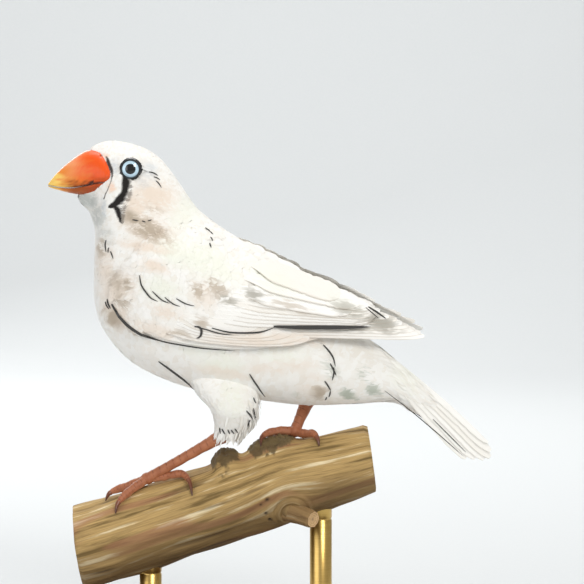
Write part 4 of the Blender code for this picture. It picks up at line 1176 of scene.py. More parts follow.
# How far along the tail each feather ends, from the ridge outwards
TAIL_ENDS = np.array([0.945, 1.00, 1.03, 1.00, 0.95, 0.89])


def tail_point(along, across, lift):
    """The tent: a ridge point, moved across, and down by the drop times |across| to the 1.15."""
    row = smooth_rows(TAIL, along * TAIL_LAST)
    ahead = smooth_rows(TAIL, (along + 0.02) * TAIL_LAST) - smooth_rows(TAIL, (along - 0.02) * TAIL_LAST)
    axis = unit(ahead[..., :2])
    down = np.stack([axis[..., 1], -axis[..., 0]], -1)
    place = row[..., :2] + down * (row[..., 3] * np.abs(across) ** 1.15 - lift)[..., None]
    return np.stack([place[..., 0], across * row[..., 2], place[..., 1]], -1)


chance = np.random.default_rng(5)
number = np.repeat(np.arange(TAIL_FEATHERS), 2)
side = np.tile([-1.0, 1.0], TAIL_FEATHERS)
share = 1 - (1 - np.linspace(0, 1, VANE_ROWS)) ** 1.5
u = np.linspace(-1, 1, VANE_COLUMNS)
end = TAIL_ENDS[number] + chance.uniform(-0.006, 0.006, len(number))
along = 0.03 + (end - 0.03)[:, None, None] * share[None, :, None] + 0 * u
middle = (((number + 0.35) / TAIL_FEATHERS)[:, None] * (0.45 + 0.55 * share))[:, :, None]
notch = chance.random((len(number), VANE_ROWS, VANE_COLUMNS)) ** 8 * (np.abs(u) > 0.9) * 0.12
reach = 0.27 * (vane_breadth(share) * (0.8 + 0.2 * share))[None, :, None] * u * (1 - notch)
across = np.clip(middle + reach, -1.0, 1.05)
ridge = 0.07 * np.exp(-((u / 0.12) ** 2)) * (1 - share[:, None]) ** 0.5
high = 0.35 - 0.20 * number[:, None, None] + 0.5 * reach + ridge
low = high - 0.14 - 0.06 * (1 - u**2)
flip = slice(None, None, -1)
tail_rings = tail_point(
    np.concatenate([along, along[:, :, flip]], 2),
    side[:, None, None] * np.concatenate([across, across[:, :, flip]], 2),
    np.concatenate([high, low[:, :, flip]], 2),
)
tail_vane = np.stack([
    4.4 * np.concatenate([reach, reach[:, :, flip]], 2),
    28.0 * np.broadcast_to(share[None, :, None], (len(number), VANE_ROWS, 2 * VANE_COLUMNS)),
], -1)
handed = side > 0
tail_rings[handed] = tail_rings[handed][:, :, ::-1]
tail_vane[handed] = tail_vane[handed][:, :, ::-1]
# The tail's vanes get a fainter painted shade line along their rims
tail = add_vanes(
    "rectrix_vanes", tail_rings, tail_vane, (number / 6.0, 0.5 + side * 0.25), chance,
    rim=0.2,
)
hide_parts("tail")

# %% [markdown]
# ## Dusky barbs and painted shadow lines
# Dark strokes lie on the coat. Some are dark feather edges: on the nape, cheek, breast and
# shoulder, on the ragged back of the thigh and along the tail. Others are painted shadow lines where
# one part lies over another: under the wing's lower edge, along the edge of the outer secondary over
# the primaries, in front of the thigh and on the flank's frayed line. Each is a blade of its own. A
# ray from the side finds the coat below every point, as a hand would lay the barb on.

# %% Lay the dark strokes
# Half breadth, then x and z of points along the stroke; first the body's, then the wing's
BODY_DARK_STROKES = [
    (0.09, -18.8, 91.0, -17.9, 90.8, -17.1, 90.3),
    (0.08, -17.9, 90.1, -17.3, 89.9, -16.7, 89.5),
    (0.08, -17.5, 89.4, -16.9, 88.8, -16.4, 88.0),
    (0.09, -21.7, 82.1, -21.1, 82.0, -20.5, 81.9),
    (0.08, -19.9, 81.9, -19.6, 81.8, -19.2, 81.6),
    (0.08, -18.8, 81.9, -18.4, 82.0, -18.1, 82.1),
    (0.09, -8.2, 80.6, -7.4, 80.0, -6.7, 79.3),
    (0.08, -7.2, 78.9, -6.9, 78.5, -6.8, 78.1),
    (0.10, -7.3, 77.8, -7.2, 77.4, -7.0, 76.9),
    (0.10, -26.7, 78.3, -26.9, 77.4, -26.7, 76.0),
    (0.09, -26.2, 76.9, -26.3, 76.4, -26.3, 75.9),
    (0.09, -25.9, 76.2, -25.6, 75.7, -25.3, 74.8),
    (0.12, -26.5, 67.3, -26.3, 66.4, -25.8, 65.5),
    (0.10, -26.9, 66.8, -26.6, 66.0, -26.1, 65.4),
    # These two are painted shadow lines under the wing's lower edge, from its front to the flank
    (0.22, -25.6, 66.4, -24.5, 64.7, -22.8, 62.9, -21.1, 61.6, -19.0, 60.5, -16.1, 59.6),
    (0.09, -19.6, 60.8, -16.1, 59.6, -12.3, 58.9, -8.0, 58.3, -2.3, 57.9),
    (0.11, -20.1, 71.9, -19.8, 70.2, -18.9, 68.8, -17.9, 67.7, -16.6, 67.1),
    (0.09, -17.7, 69.0, -16.9, 68.2, -15.8, 67.3, -14.5, 66.8),
    (0.09, -15.4, 67.9, -14.6, 67.2, -13.7, 66.6, -12.5, 66.2),
    (0.09, -13.3, 67.7, -12.3, 67.1, -11.2, 66.6, -9.8, 66.3),
    # Along the flank's frayed line: painted shadow under the lifted tips
    (0.12, 13.8, 58.8, 14.8, 57.7, 15.7, 56.3, 16.1, 54.6),
    (0.11, 15.1, 55.3, 15.7, 54.2, 16.3, 52.9),
    (0.11, 15.8, 54.6, 15.8, 53.3, 15.5, 52.0),
    (0.11, 14.1, 52.0, 14.7, 51.1, 15.3, 50.0),
    (0.10, 15.2, 50.0, 15.1, 49.3, 14.9, 48.7),
    (0.10, 14.5, 48.8, 14.4, 48.4, 14.2, 48.1),
    # Painted shadow line where the thigh meets the belly
    (0.16, -16.9, 55.7, -14.4, 53.8, -12.2, 52.0, -10.3, 50.2),
    (0.12, 0.1, 53.5, 0.9, 52.1, 1.9, 50.5, 3.0, 48.8),
    (0.10, 0.8, 48.9, 1.0, 48.3, 1.3, 47.8),
    (0.12, -0.5, 46.6, 0.2, 45.7, 0.8, 44.7),
    (0.10, 0.8, 47.0, 1.0, 46.0, 1.3, 44.9),
    (0.10, 1.2, 48.2, 1.7, 47.0, 2.2, 45.7),
    (0.10, 1.5, 48.8, 2.2, 47.6, 2.8, 46.4),
    (0.12, 0.2, 44.8, -0.1, 44.1, -0.3, 43.4),
    (0.10, -5.5, 43.2, -5.5, 42.6, -5.4, 42.0),
    (0.10, -5.1, 43.0, -4.8, 42.4, -4.5, 41.9),
    (0.10, -4.0, 42.9, -3.8, 42.4, -3.6, 42.0),
    (0.10, -3.4, 42.9, -3.1, 42.4, -2.8, 42.0),
    (0.10, -2.7, 43.1, -2.4, 42.6, -2.1, 42.2),
    (0.07, 25.5, 49.8, 33.0, 43.9, 40.4, 37.4),
    (0.07, 34.6, 44.4, 37.8, 41.2, 41.0, 38.0),
]
WING_DARK_STROKES = [
    # The first four paint the shadow line where the secondaries lie over the primaries
    (0.16, -9.9, 62.6, -8.9, 62.4, -8.6, 61.6, -8.9, 60.7, -9.6, 60.4),
    (0.09, -9.9, 62.6, -8.0, 62.1, -5.3, 61.3, -2.7, 61.0),
    (0.12, -6.7, 62.3, -3.4, 61.5, 0.9, 61.4, 3.0, 61.7, 4.8, 62.3),
    (0.30, 4.6, 62.5, 8.6, 62.3, 12.9, 62.2, 18.1, 62.1, 22.8, 62.0),
    (0.14, 22.4, 65.6, 24.1, 64.5, 25.8, 63.3),
    (0.07, 21.9, 65.5, 23.1, 64.5, 24.4, 63.4),
]
DARK_STROKE_SHARES = np.linspace(0, 1, 13)
DARK_STROKE_BREADTH = np.sin(math.pi * (0.08 + 0.88 * DARK_STROKE_SHARES)) ** 0.6
DARK_STROKE_LIFT = 0.06
DARK_STROKE_SCALE = 1.35
STEP_HEIGHT = 0.4


def drop_on_coat(x, z, side):
    """Where rays from the side first meet the model, and the surface's normals there."""
    scene, layers = bpy.context.scene, bpy.context.evaluated_depsgraph_get()
    places, normals = [], []
    for place_x, place_z in zip(x, z):
        start = (place_x * MM, side * 60 * MM, place_z * MM)
        found, place, normal, *_ = scene.ray_cast(layers, start, (0, -side, 0))
        places.append(place[1] / MM if found else np.nan)
        normals.append(tuple(normal) if found else (0, side, 0))
    return np.array(places), np.array(normals)


def barb_and_shadow_lines(barbs, side, lifted):
    """Middle lines, normals and half breadths of dark strokes laid on one side of the bird: dark barbs and painted
    shadow lines.

    A stroke that finds no coat on this side, as on the other leg, is left out. Where the coat
    rises in a step, as from the breast to the wing, the stroke is already high before it.
    """
    lines, normals, halves = [], [], []
    for half, *flat in barbs:
        path = smooth_rows(np.array(flat).reshape(-1, 2), DARK_STROKE_SHARES * (len(flat) / 2 - 1))
        rear = np.clip((path[:, 0] - FAR_WING_FROM) / (WING[-1, 0] - FAR_WING_FROM), 0, 1)
        z = path[:, 1] + FAR_WING_LIFT * rear * lifted
        y, normal = drop_on_coat(path[:, 0], z, side)
        held = np.flatnonzero(y * side > 0.8)
        if len(held) < 9:
            continue
        y = np.interp(np.arange(len(y)), held, y[held] * side)
        around = np.maximum(np.append(y[1:], y[-1]), np.append(y[0], y[:-1]))
        y = side * np.where(around - y > STEP_HEIGHT, around, y)
        lines.append(np.stack([path[:, 0], y, z], -1))
        normals.append(unit(unit(normal) + np.array((0, 2.5 * side, 0))))
        halves.append(DARK_STROKE_SCALE * half)
    return np.array(lines), np.array(normals), np.array(halves)


bpy.context.view_layer.update()
for name, side in SIDES.items():
    chance = np.random.default_rng(81 + side)
    body = barb_and_shadow_lines(BODY_DARK_STROKES, side, False)
    wing = barb_and_shadow_lines(WING_DARK_STROKES, side, side > 0)
    lines, normals, halves = (np.concatenate(pair) for pair in zip(body, wing))
    lift = DARK_STROKE_LIFT + halves[:, None] * np.ones(len(DARK_STROKE_SHARES)) * 0.6
    rings, vane = blades(
        lines, normals, halves, lift, 3, chance, 0.0, 0.1, 0.10, DARK_STROKE_SHARES, DARK_STROKE_BREADTH,
    )
    where = np.linspace(0, 1, len(lines))
    maps = {"vane": vane, "lie": vane, "OFBake": bake_places(where, 0.5 + 0 * where, vane, None)}
    add_piece("dark_barbs_and_shadow_lines_" + name, rings, down_keratin, maps,
              {"tear": np.full(len(lines), 0.95)})

# %% [markdown]
# ## The eyes
# A real finch's eye is almost a ball, of which only the clear front shows between the lids. Model
# makers use a shallow glass dome with the iris painted behind it. So this one is a flattened ball,
# which also mirrors a lamp as a larger spot. The iris is drawn by how far a point lies from the
# eye's own axis, a distance that is kept in a UV map. This bird's iris is pale blue and its pupil
# black.

# %% Eyeballs and lids
DOME_DEPTH = 1.25
DOME_FRONT = 2.15
PUPIL_RADIUS = 0.98
IRIS_RADIUS = 1.58
# The slit between the lids is a little taller than it is wide
LID_NARROW = 0.96


def glass_eye_material():
    """Painted iris under polished glass: sharp reflections over a soft, streaked blue ring."""
    made, tree, shader = start_material("polished_glass_eye")
    gaze = add_node(tree, "ShaderNodeUVMap", uv_map="gaze")
    parts = add_node(tree, "ShaderNodeSeparateXYZ", {0: gaze.outputs[0]})
    distance = parts.outputs[0]
    streaks = add_node(
        tree, "ShaderNodeTexNoise", {"Vector": gaze.outputs[0], "Scale": 9.0, "Detail": 3.0},
    )
    iris = add_node(
        tree, "ShaderNodeMix", {0: streaks.outputs[0], 6: paint("#a3cfe8"), 7: paint("#e6f5fc")},
        data_type="RGBA",
    )
    in_pupil = add_node(
        tree, "ShaderNodeMapRange",
        {0: distance, 1: PUPIL_RADIUS - 0.05, 2: PUPIL_RADIUS + 0.05, 3: 1.0, 4: 0.0},
        interpolation_type="SMOOTHSTEP",
    )
    past_iris = add_node(
        tree, "ShaderNodeMapRange", {0: distance, 1: IRIS_RADIUS - 0.12, 2: IRIS_RADIUS + 0.06},
        interpolation_type="SMOOTHSTEP",
    )
    with_pupil = add_node(
        tree, "ShaderNodeMix",
        {0: in_pupil.outputs[0], 6: iris.outputs[2], 7: paint("#030303")}, data_type="RGBA",
    )
    whole = add_node(
        tree, "ShaderNodeMix",
        {0: past_iris.outputs[0], 6: with_pupil.outputs[2], 7: paint("#151517")}, data_type="RGBA",
    )
    tree.links.new(whole.outputs[2], shader.inputs["Base Color"])
    shader.inputs["Roughness"].default_value = 0.04
    shader.inputs["Specular IOR Level"].default_value = 0.8
    return made


def lid_material():
    """Bare eyelid skin: dark and finely grained."""
    made, tree, shader = start_material("bare_eyelid_skin")
    place = add_node(tree, "ShaderNodeTexCoord")
    grain = add_node(
        tree, "ShaderNodeTexNoise", {"Vector": place.outputs["Object"], "Scale": 4000.0, "Detail": 3.0},
    )
    tone = add_node(
        tree, "ShaderNodeMix", {0: grain.outputs[0], 6: paint("#0c0d0e"), 7: paint("#27292c")},
        data_type="RGBA",
    )
    bump = add_node(
        tree, "ShaderNodeBump", {"Height": grain.outputs[0], "Strength": 0.5, "Distance": 0.04 * MM},
    )
    tree.links.new(tone.outputs[2], shader.inputs["Base Color"])
    tree.links.new(bump.outputs[0], shader.inputs["Normal"])
    shader.inputs["Roughness"].default_value = 0.5
    return made


glass_eye, lid_skin = glass_eye_material(), lid_material()
tilt = np.linspace(0.02, math.pi - 0.02, 56)[:, None]
round_it = np.linspace(0, 2 * math.pi, 64, endpoint=False)[None, :]
for name, side in (("eye_left", -1), ("eye_right", 1)):
    away = EYE_RADIUS * np.sin(tilt) + 0 * round_it
    ball = np.stack([
        EYE[0] + away * np.cos(round_it),
        side * (EYE[1] + DOME_FRONT - DOME_DEPTH * (1 - np.cos(tilt))) + 0 * round_it,
        EYE[2] + away * np.sin(round_it),
    ], -1)
    gaze = np.stack([away + 10.0 * (tilt > math.pi / 2), round_it / 0.6 + 0 * away], -1)
    eyeball = add_piece(name + "_ball", ball, glass_eye, {"gaze": gaze})
    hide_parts(name)
    hoop = np.linspace(0, 2 * math.pi, 160, endpoint=False)[:, None]
    section = np.linspace(0, 2 * math.pi, 18, endpoint=False)[None, :]
    beads = 1 + 0.16 * np.abs(np.sin(13 * hoop)) * (0.5 + 0.5 * np.cos(section))
    small = 0.165 * beads * (1 + 0.12 * np.sin(hoop))
    reach = LID_RADIUS * (1 + 0.03 * np.cos(2 * hoop)) + small * np.cos(section)
    around = body_place(EYE[0] + LID_RADIUS * np.cos(hoop), EYE[2] + LID_RADIUS * np.sin(hoop))[2]
    rim = math.sqrt(1 - (LID_RADIUS / EYE_RADIUS) ** 2)
    ball_level = EYE[1] + DOME_FRONT - DOME_DEPTH * (1 - rim) + 0.10
    outer_level = np.maximum(ball_level, around[:, None] + 0.04)
    outer_share = (1 + np.cos(section)) / 2
    level = ball_level + (outer_level - ball_level) * outer_share + small * np.sin(section)
    lid = np.stack([
        EYE[0] + LID_NARROW * reach * np.cos(hoop), side * level, EYE[2] + reach * np.sin(hoop),
    ], -1)
    add_piece(name + "_lids", lid, lid_skin, looped=True, sharp=80)

# %% [markdown]
# ## The bill
# A seed-eater's bill is a thick cone of horn in two halves with a waxy gloss. It grows from the
# base, so fine growth lines run round it, and it is worn yellow at the tip. A highlight on its
# upper half and shade on its lower half, in the mouth line, the gape and the nostril are painted
# into its colour. Each half is a loft of upright slices cut off at the mouth line, with a narrow gap
# between them.

# %% Two halves of horn
BILL_FULLNESS = 0.8
MOUTH_GAP = 0.09
BILL_RINGS = 110
# x, z and half width of the crease at the corner of the mouth, and the nostril
GAPE = np.array([(-31.3, 88.45, 0.10), (-30.6, 88.60, 0.17), (-30.0, 88.85, 0.2), (-29.4, 89.20, 0.12)])
NOSTRIL = (-27.9, 94.1)


def bill_ring(row, part, sides=44, inner=14):
    """One upright slice: a full-sided oval above or below the mouth, closed by a low arch."""
    x, top, mouth, bottom, half = row
    centre, rise = (top + bottom) / 2, (top - bottom) / 2
    sign = 1 if part == "upper" else -1
    edge = mouth + sign * MOUTH_GAP / 2
    start = math.acos(np.clip((edge - centre) / rise, -0.95, 0.95))
    turn = np.linspace(-start, start, sides) if sign > 0 else np.linspace(start, 2 * math.pi - start, sides)
    sine = np.sin(turn)
    y = half * np.sign(sine) * np.abs(sine) ** BILL_FULLNESS
    z = centre + rise * np.cos(turn)
    z[0] = z[-1] = edge
    back = np.linspace(0, 1, inner + 2)[1:-1]
    y = np.append(y, y[-1] + (y[0] - y[-1]) * back)
    z = np.append(z, edge + sign * 0.3 * half * 0.3 * np.sin(math.pi * back))
    return np.stack([np.full(len(y), x), y, z], 1)


def horn_material():
    """Waxy horn: orange with a red base and a yellow worn tip, a painted highlight and painted shade, fine growth
    lines, soft gloss.
    """
    made, tree, shader = start_material("waxy_bill_horn")
    colour = paint("#ec8830")
    # The pale mark is a painted highlight; the dark low and crease marks are painted shade
    for mark, code in (
        ("horn_painted_highlight", "#f9a878"), ("horn_red", "#f04a06"), ("horn_painted_shade_low", "#8f3c08"),
        ("horn_tip", "#fbd06a"), ("horn_painted_crease_shade", "#2a1108"),
    ):
        share = add_node(tree, "ShaderNodeAttribute", attribute_name=mark)
        colour = add_node(
            tree, "ShaderNodeMix", {0: share.outputs["Fac"], 6: colour, 7: paint(code)},
            data_type="RGBA",
        ).outputs[2]
    place = add_node(tree, "ShaderNodeTexCoord")
    stretched = add_node(
        tree, "ShaderNodeMapping", {"Vector": place.outputs["Object"], "Scale": (2600.0, 500.0, 500.0)},
    )
    lines = add_node(tree, "ShaderNodeTexNoise", {"Vector": stretched.outputs[0], "Scale": 1.0, "Detail": 4.0})
    bump = add_node(
        tree, "ShaderNodeBump", {"Height": lines.outputs[0], "Strength": 0.25, "Distance": 0.05 * MM},
    )
    tree.links.new(colour, shader.inputs["Base Color"])
    tree.links.new(bump.outputs[0], shader.inputs["Normal"])
    shader.inputs["Roughness"].default_value = 0.34
    shader.inputs["Specular IOR Level"].default_value = 0.35
    return made


horn = horn_material()
bill_rows = smooth_rows(BILL, np.linspace(0, len(BILL) - 1, BILL_RINGS))
gape_line = smooth_rows(GAPE, np.linspace(0, len(GAPE) - 1, 24))
for part in ("upper", "lower"):
    half = np.array([bill_ring(row, part) for row in bill_rows])
    x, y, z = half[..., 0], half[..., 1], half[..., 2]
    gape = np.zeros_like(x)
    for place_x, place_z, wide in gape_line:
        gape = np.maximum(gape, 1 - ease(0.7, 1.8, np.hypot(x - place_x, z - place_z) / wide))
    outer = np.abs(y) > 0.5
    gape = gape * outer
    mouth_line = 0.8 * (1 - ease(0.05, 0.22, np.abs(z - bill_rows[:, None, 2])))
    hole = np.exp(-((np.hypot(x - NOSTRIL[0], (z - NOSTRIL[1]) * 1.2) / 0.22) ** 2)) * outer
    growth = 0.012 * np.sin(2 * math.pi * x / 0.62 + 0.6 * np.sin(z))
    half[..., 1] -= np.sign(y) * (0.14 * gape + 0.32 * hole - growth * np.clip(np.abs(y), 0, 1))
    along = (x - BILL[0, 0]) / (BILL[-1, 0] - BILL[0, 0])
    level = (z - 88.3) / 6.5
    marks = {
        "horn_tip": 1 - ease(0.10, 0.36, along + 0.16 * level + 0.3 * (cloud(x * 0.5, z * 3, 2) - 0.5)),
        "horn_red": 0.85 * ease(0.35, 0.85, along + 0.12 * level + 0.3 * (cloud(x * 0.5, z * 2.5, 2) - 0.5)),
        # A pale painted highlight on the upper half
        "horn_painted_highlight": 0.8 * np.exp(-(((along - 0.42) / 0.16) ** 2 + ((level - 0.75) / 0.3) ** 2)),
        # Painted shade on the lower half and along the rear of the mouth
        "horn_painted_shade_low": np.maximum(
            0.85 * ease(0.24, 0.0, level + 0.25 * (cloud(x * 0.6, z * 4, 2) - 0.5)) * ease(0.1, 0.45, along),
            0.6 * ease(0.5, 0.85, along) * ease(0.45, 0.0, level + 0.3 * (cloud(x * 0.5, z * 3, 2) - 0.5)),
        ),
        # Painted shade in the gape's crease, the nostril and the mouth line
        "horn_painted_crease_shade": np.maximum(np.maximum(gape, 0.8 * hole), mouth_line),
    }
    piece = add_piece("bill_horn_" + part, half, horn, marks=marks, sharp=50)
    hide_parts("bill_" + part)

# %% [markdown]
# ## The branch
# The bird stands on a peeled, weathered branch. Its grain runs along it and parts round the stub of
# a broken twig, as water parts round a stone. That is what the grain map holds: the distance
# along, and across it the stream function of a flow round a disc, y·(1 - a²/r²). Ridges in the
# mesh and streaks in the material both follow it. Two flakes of old bark are left on the top.
# Painted shade darkens the underside, the twig stub, the wood round the knot and the hollows.

# %% The branch as one grid
PERCH_LINE = np.array([
    (-32.5, 19.3, 7.9), (-26.6, 21.1, 7.9), (-9.5, 26.6, 7.7), (7.6, 32.2, 7.4),
    (16.0, 34.6, 6.8), (23.2, 36.6, 6.3),
])
perch_dense = smooth_rows(PERCH_LINE, np.linspace(0, len(PERCH_LINE) - 1, 400))
# Place along, spread along, turn round the branch in radians, height
BARK_FLAKES = ((-2.2, 2.3, 0.105, 2.0), (6.4, 3.9, -0.070, 1.5))
KNOT_X, KNOT_TURN, KNOT_SIZE = 6.4, math.radians(130), 2.9
GRAIN_RADIUS = 7.4


def perch_centre(x):
    """Height, radius and slope angle of the branch's middle line at x."""
    z, radius = (np.interp(x, perch_dense[:, 0], perch_dense[:, k]) for k in (1, 2))
    ahead = np.interp(x + 1, perch_dense[:, 0], perch_dense[:, 1])
    behind = np.interp(x - 1, perch_dense[:, 0], perch_dense[:, 1])
    return z, radius, np.arctan2(ahead - behind, 2.0)


def bark_height(x, turn):
    """The branch's low waves and the two flakes, as in the solid: sines and flat-topped bells."""
    height = 0.16 * np.sin(5 * turn + 0.35 * x) + 0.12 * np.sin(9 * turn - 0.22 * x + 1.3)
    for place, spread, side, tall in BARK_FLAKES:
        height = height + tall * np.exp(-(((x - place) / spread) ** 4) - ((turn - side) / 0.55) ** 2)
    return height


def perch_point(x, turn, lift, fine=0.0):
    """A point of the branch's skin: turn 0 is its top, and a positive turn goes to the near side."""
    z, radius, slope = perch_centre(x)
    reach = radius + bark_height(x, turn) + lift + fine
    up = reach * np.cos(turn)
    return np.stack([x - up * np.sin(slope), -reach * np.sin(turn), z + up * np.cos(slope)], -1)


def grain_across(x, turn):
    """The grain's own coordinate across the branch: the stream function round the knot."""
    dx, dy = x - KNOT_X, (turn - KNOT_TURN) * GRAIN_RADIUS
    far = dx**2 + dy**2
    return dy * (1 - KNOT_SIZE**2 / (far + 0.35 * KNOT_SIZE**2)) + KNOT_TURN * GRAIN_RADIUS


def wood_material(name, dark, middle, pale, red, roughness):
    """Weathered wood: long streaks that follow the grain map, pale ridges, a breath of red, and painted shade on the
    underside and in the hollows.
    """
    made, tree, shader = start_material(name)
    grain = add_node(tree, "ShaderNodeUVMap", uv_map="grain")
    streak_map = add_node(
        tree, "ShaderNodeMapping", {"Vector": grain.outputs[0], "Scale": (0.05, 0.60, 1.0)},
    )
    streaks = add_node(
        tree, "ShaderNodeTexNoise",
        {"Vector": streak_map.outputs[0], "Scale": 1.0, "Detail": 5.0, "Roughness": 0.6},
    )
    fibre_map = add_node(
        tree, "ShaderNodeMapping", {"Vector": grain.outputs[0], "Scale": (0.16, 4.0, 1.0)},
    )
    fibres = add_node(
        tree, "ShaderNodeTexNoise", {"Vector": fibre_map.outputs[0], "Scale": 1.0, "Detail": 3.0},
    )
    low = add_node(
        tree, "ShaderNodeMapRange", {0: streaks.outputs[0], 1: 0.36, 2: 0.50},
        interpolation_type="SMOOTHSTEP",
    )
    high = add_node(
        tree, "ShaderNodeMapRange", {0: streaks.outputs[0], 1: 0.54, 2: 0.66},
        interpolation_type="SMOOTHSTEP",
    )
    colour = add_node(
        tree, "ShaderNodeMix", {0: low.outputs[0], 6: paint(dark), 7: paint(middle)}, data_type="RGBA",
    )
    colour = add_node(
        tree, "ShaderNodeMix", {0: high.outputs[0], 6: colour.outputs[2], 7: paint(pale)},
        data_type="RGBA",
    )
    fine = add_node(
        tree, "ShaderNodeMapRange", {0: fibres.outputs[0], 1: 0.35, 2: 0.65, 3: 0.78, 4: 1.08},
    )
    colour = add_node(
        tree, "ShaderNodeMix", {0: 1.0, 6: colour.outputs[2], 7: fine.outputs[0]},
        data_type="RGBA", blend_type="MULTIPLY",
    )
    colour = colour.outputs[2]
    # The underside and hollow marks are painted shade; the others are the wood's own colours
    for mark, code in (
        ("red_streak", red), ("underside_and_knot_painted_shade", "#6a5230"), ("bark_crust", "#5f4f31"),
        ("cut_face", "#d9b284"), ("hollow_painted_shade", "#33261a"),
    ):
        share = add_node(tree, "ShaderNodeAttribute", attribute_name=mark)
        colour = add_node(
            tree, "ShaderNodeMix", {0: share.outputs["Fac"], 6: colour, 7: paint(code)},
            data_type="RGBA",
        ).outputs[2]
    bump = add_node(
        tree, "ShaderNodeBump", {"Height": fibres.outputs[0], "Strength": 0.5, "Distance": 0.15 * MM},
    )
    tree.links.new(colour, shader.inputs["Base Color"])
    tree.links.new(bump.outputs[0], shader.inputs["Normal"])
    shader.inputs["Roughness"].default_value = roughness
    return made


peeled_wood = wood_material("weathered_peeled_wood", "#7d6436", "#bc9b62", "#eedbb2", "#a26e50", 0.8)
PERCH_RINGS, PERCH_SIDES, CUT_RINGS = 380, 210, 18
x_line = np.linspace(PERCH_LINE[0, 0], PERCH_LINE[-1, 0], PERCH_RINGS)
turn_line = np.linspace(-math.pi, math.pi, PERCH_SIDES, endpoint=False)
x, turn = np.meshgrid(x_line, turn_line, indexing="ij")
across = grain_across(x, turn)
away = np.hypot(x - KNOT_X, (turn - KNOT_TURN) * GRAIN_RADIUS)
ridges = 0.55 * (cloud(x * 0.07, across * 0.55, 2) - 0.5) + 0.30 * (cloud(x * 0.11 + 9, across * 1.6, 2) - 0.5)
collar = (0.7 + 0.30 * np.cos(2 * math.pi * away / 1.2)) * np.exp(-((away / 3.6) ** 4))
crust = np.zeros_like(x)
for place, spread, side_turn, tall in BARK_FLAKES:
    ragged = 0.7 * (cloud(x * 0.9, turn * 5, 3) - 0.5)
    body = np.exp(-(((x - place) / (spread * 1.08)) ** 4) - ((turn - side_turn) / 0.55) ** 2)
    crust = np.maximum(crust, ease(0.30, 0.42, body + ragged))
rough = crust * (0.9 * cloud(x * 1.7, turn * 9, 3) + 0.4 * cloud(x * 0.8, turn * 20, 2) - 0.35)
pits = np.zeros_like(x)
PITS = (
    (3.0, 1.72, 0.34), (2.0, 2.08, 0.30), (2.3, 2.32, 0.34), (1.6, 1.80, 0.20), (3.4, 2.60, 0.24),
)
for place, side_turn, size in PITS:
    spot = np.hypot(x - place, (turn - side_turn) * GRAIN_RADIUS) / size
    pits = np.maximum(pits, np.exp(-(spot**2)))
fade = ease(0, 1.2, np.minimum(x - x_line[0], x_line[-1] - x))
fine = (ridges * (1 - crust) + collar) * fade + rough - 0.35 * pits - 0.45 * (1 - ease(0, 0.5, np.minimum(x - x_line[0], x_line[-1] - x)))
side_rings = perch_point(x, turn, 0.0, fine)
z_end, radius_end, slope_end = perch_centre(x_line)
middle_line = np.stack([x_line, 0 * x_line, z_end], -1)
shrink = np.sqrt(np.linspace(0.0005, 1, CUT_RINGS, endpoint=False))[:, None, None]
left_cap = middle_line[0] + (side_rings[0] - middle_line[0]) * shrink
right_cap = middle_line[-1] + (side_rings[-1] - middle_line[-1]) * shrink[::-1]
perch_rings = np.concatenate([left_cap, side_rings, right_cap])
cut = np.concatenate([np.ones(CUT_RINGS), np.zeros(PERCH_RINGS), np.ones(CUT_RINGS)])[:, None] + 0 * turn_line
rings_out = np.concatenate([shrink[:, 0, 0], np.ones(PERCH_RINGS), shrink[::-1, 0, 0]])[:, None] + 0 * turn_line
year_rings = 0.55 + 0.45 * np.sin(2 * math.pi * rings_out * 7 + 0.5 * np.sin(2 * turn_line))
pad = np.zeros((CUT_RINGS, PERCH_SIDES))
perch_marks = {
    "cut_face": cut * (0.35 + 0.45 * year_rings),
    "bark_crust": np.concatenate([pad, crust * 0.9, pad]),
    # Painted shade in the pits and the low grooves between ridges
    "hollow_painted_shade": np.concatenate([pad, np.clip(pits + 0.6 * ease(0.10, 0.0, fine + 0.25) * fade, 0, 1), pad]),
    # Painted shade on the branch's underside and round the knot
    "underside_and_knot_painted_shade": np.concatenate([pad, np.maximum(
        0.75 * ease(75, 135, np.degrees(np.abs(turn)) + 30 * (cloud(x * 0.08, across * 0.6, 2) - 0.5)),
        1.1 * np.exp(-((away / 4.6) ** 2)) * cloud(x * 0.2, across * 0.9, 2) ** 0.5,
    ), pad]),
    "red_streak": np.concatenate([pad, 0.6 * ease(0.62, 0.75, cloud(x * 0.05 + 3, across * 0.5 + 7, 2)), pad]),
}
u_map = np.concatenate([pad + x_line[0], x, pad + x_line[-1]])
v_map = np.concatenate([across[:1] * shrink[:, :, 0], across, across[-1:] * shrink[::-1, :, 0]])
perch = add_piece(
    "branch", perch_rings, peeled_wood, {"grain": np.stack([u_map, v_map], -1)[None]},
    {key: value[None] for key, value in perch_marks.items()}, sharp=60,
)
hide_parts("perch_branch")

TWIG_ROOT, TWIG_TIP, TWIG_RADIUS = np.array((6.2, -3.6, 27.6)), np.array((12.0, -9.2, 26.2)), 1.75
twig_share = np.linspace(0, 1, 70)
twig_radius = TWIG_RADIUS * np.interp(twig_share, (0, 0.3, 0.6, 1), (1.5, 1.18, 1.0, 0.95))
twig_ahead = unit(TWIG_TIP - TWIG_ROOT)
twig_side = unit(np.cross(twig_ahead, (0.0, 0.0, 1.0)))
twig_up = np.cross(twig_side, twig_ahead)
twig_turn = np.linspace(0, 2 * math.pi, 72, endpoint=False)
wave = 1 + 0.10 * (cloud(twig_share[:, None] * 2, twig_turn * 3, 2) - 0.5) + 0.03 * np.sin(9 * twig_turn)
wave = wave * (1 - 0.10 * (1 - ease(0, 0.06, 1 - twig_share))[:, None])
out = np.cos(twig_turn)[:, None] * twig_side + np.sin(twig_turn)[:, None] * twig_up
twig_rings = (TWIG_ROOT + (TWIG_TIP - TWIG_ROOT) * twig_share[:, None])[:, None] + (
    out[None] * (twig_radius[:, None] * wave)[..., None]
)
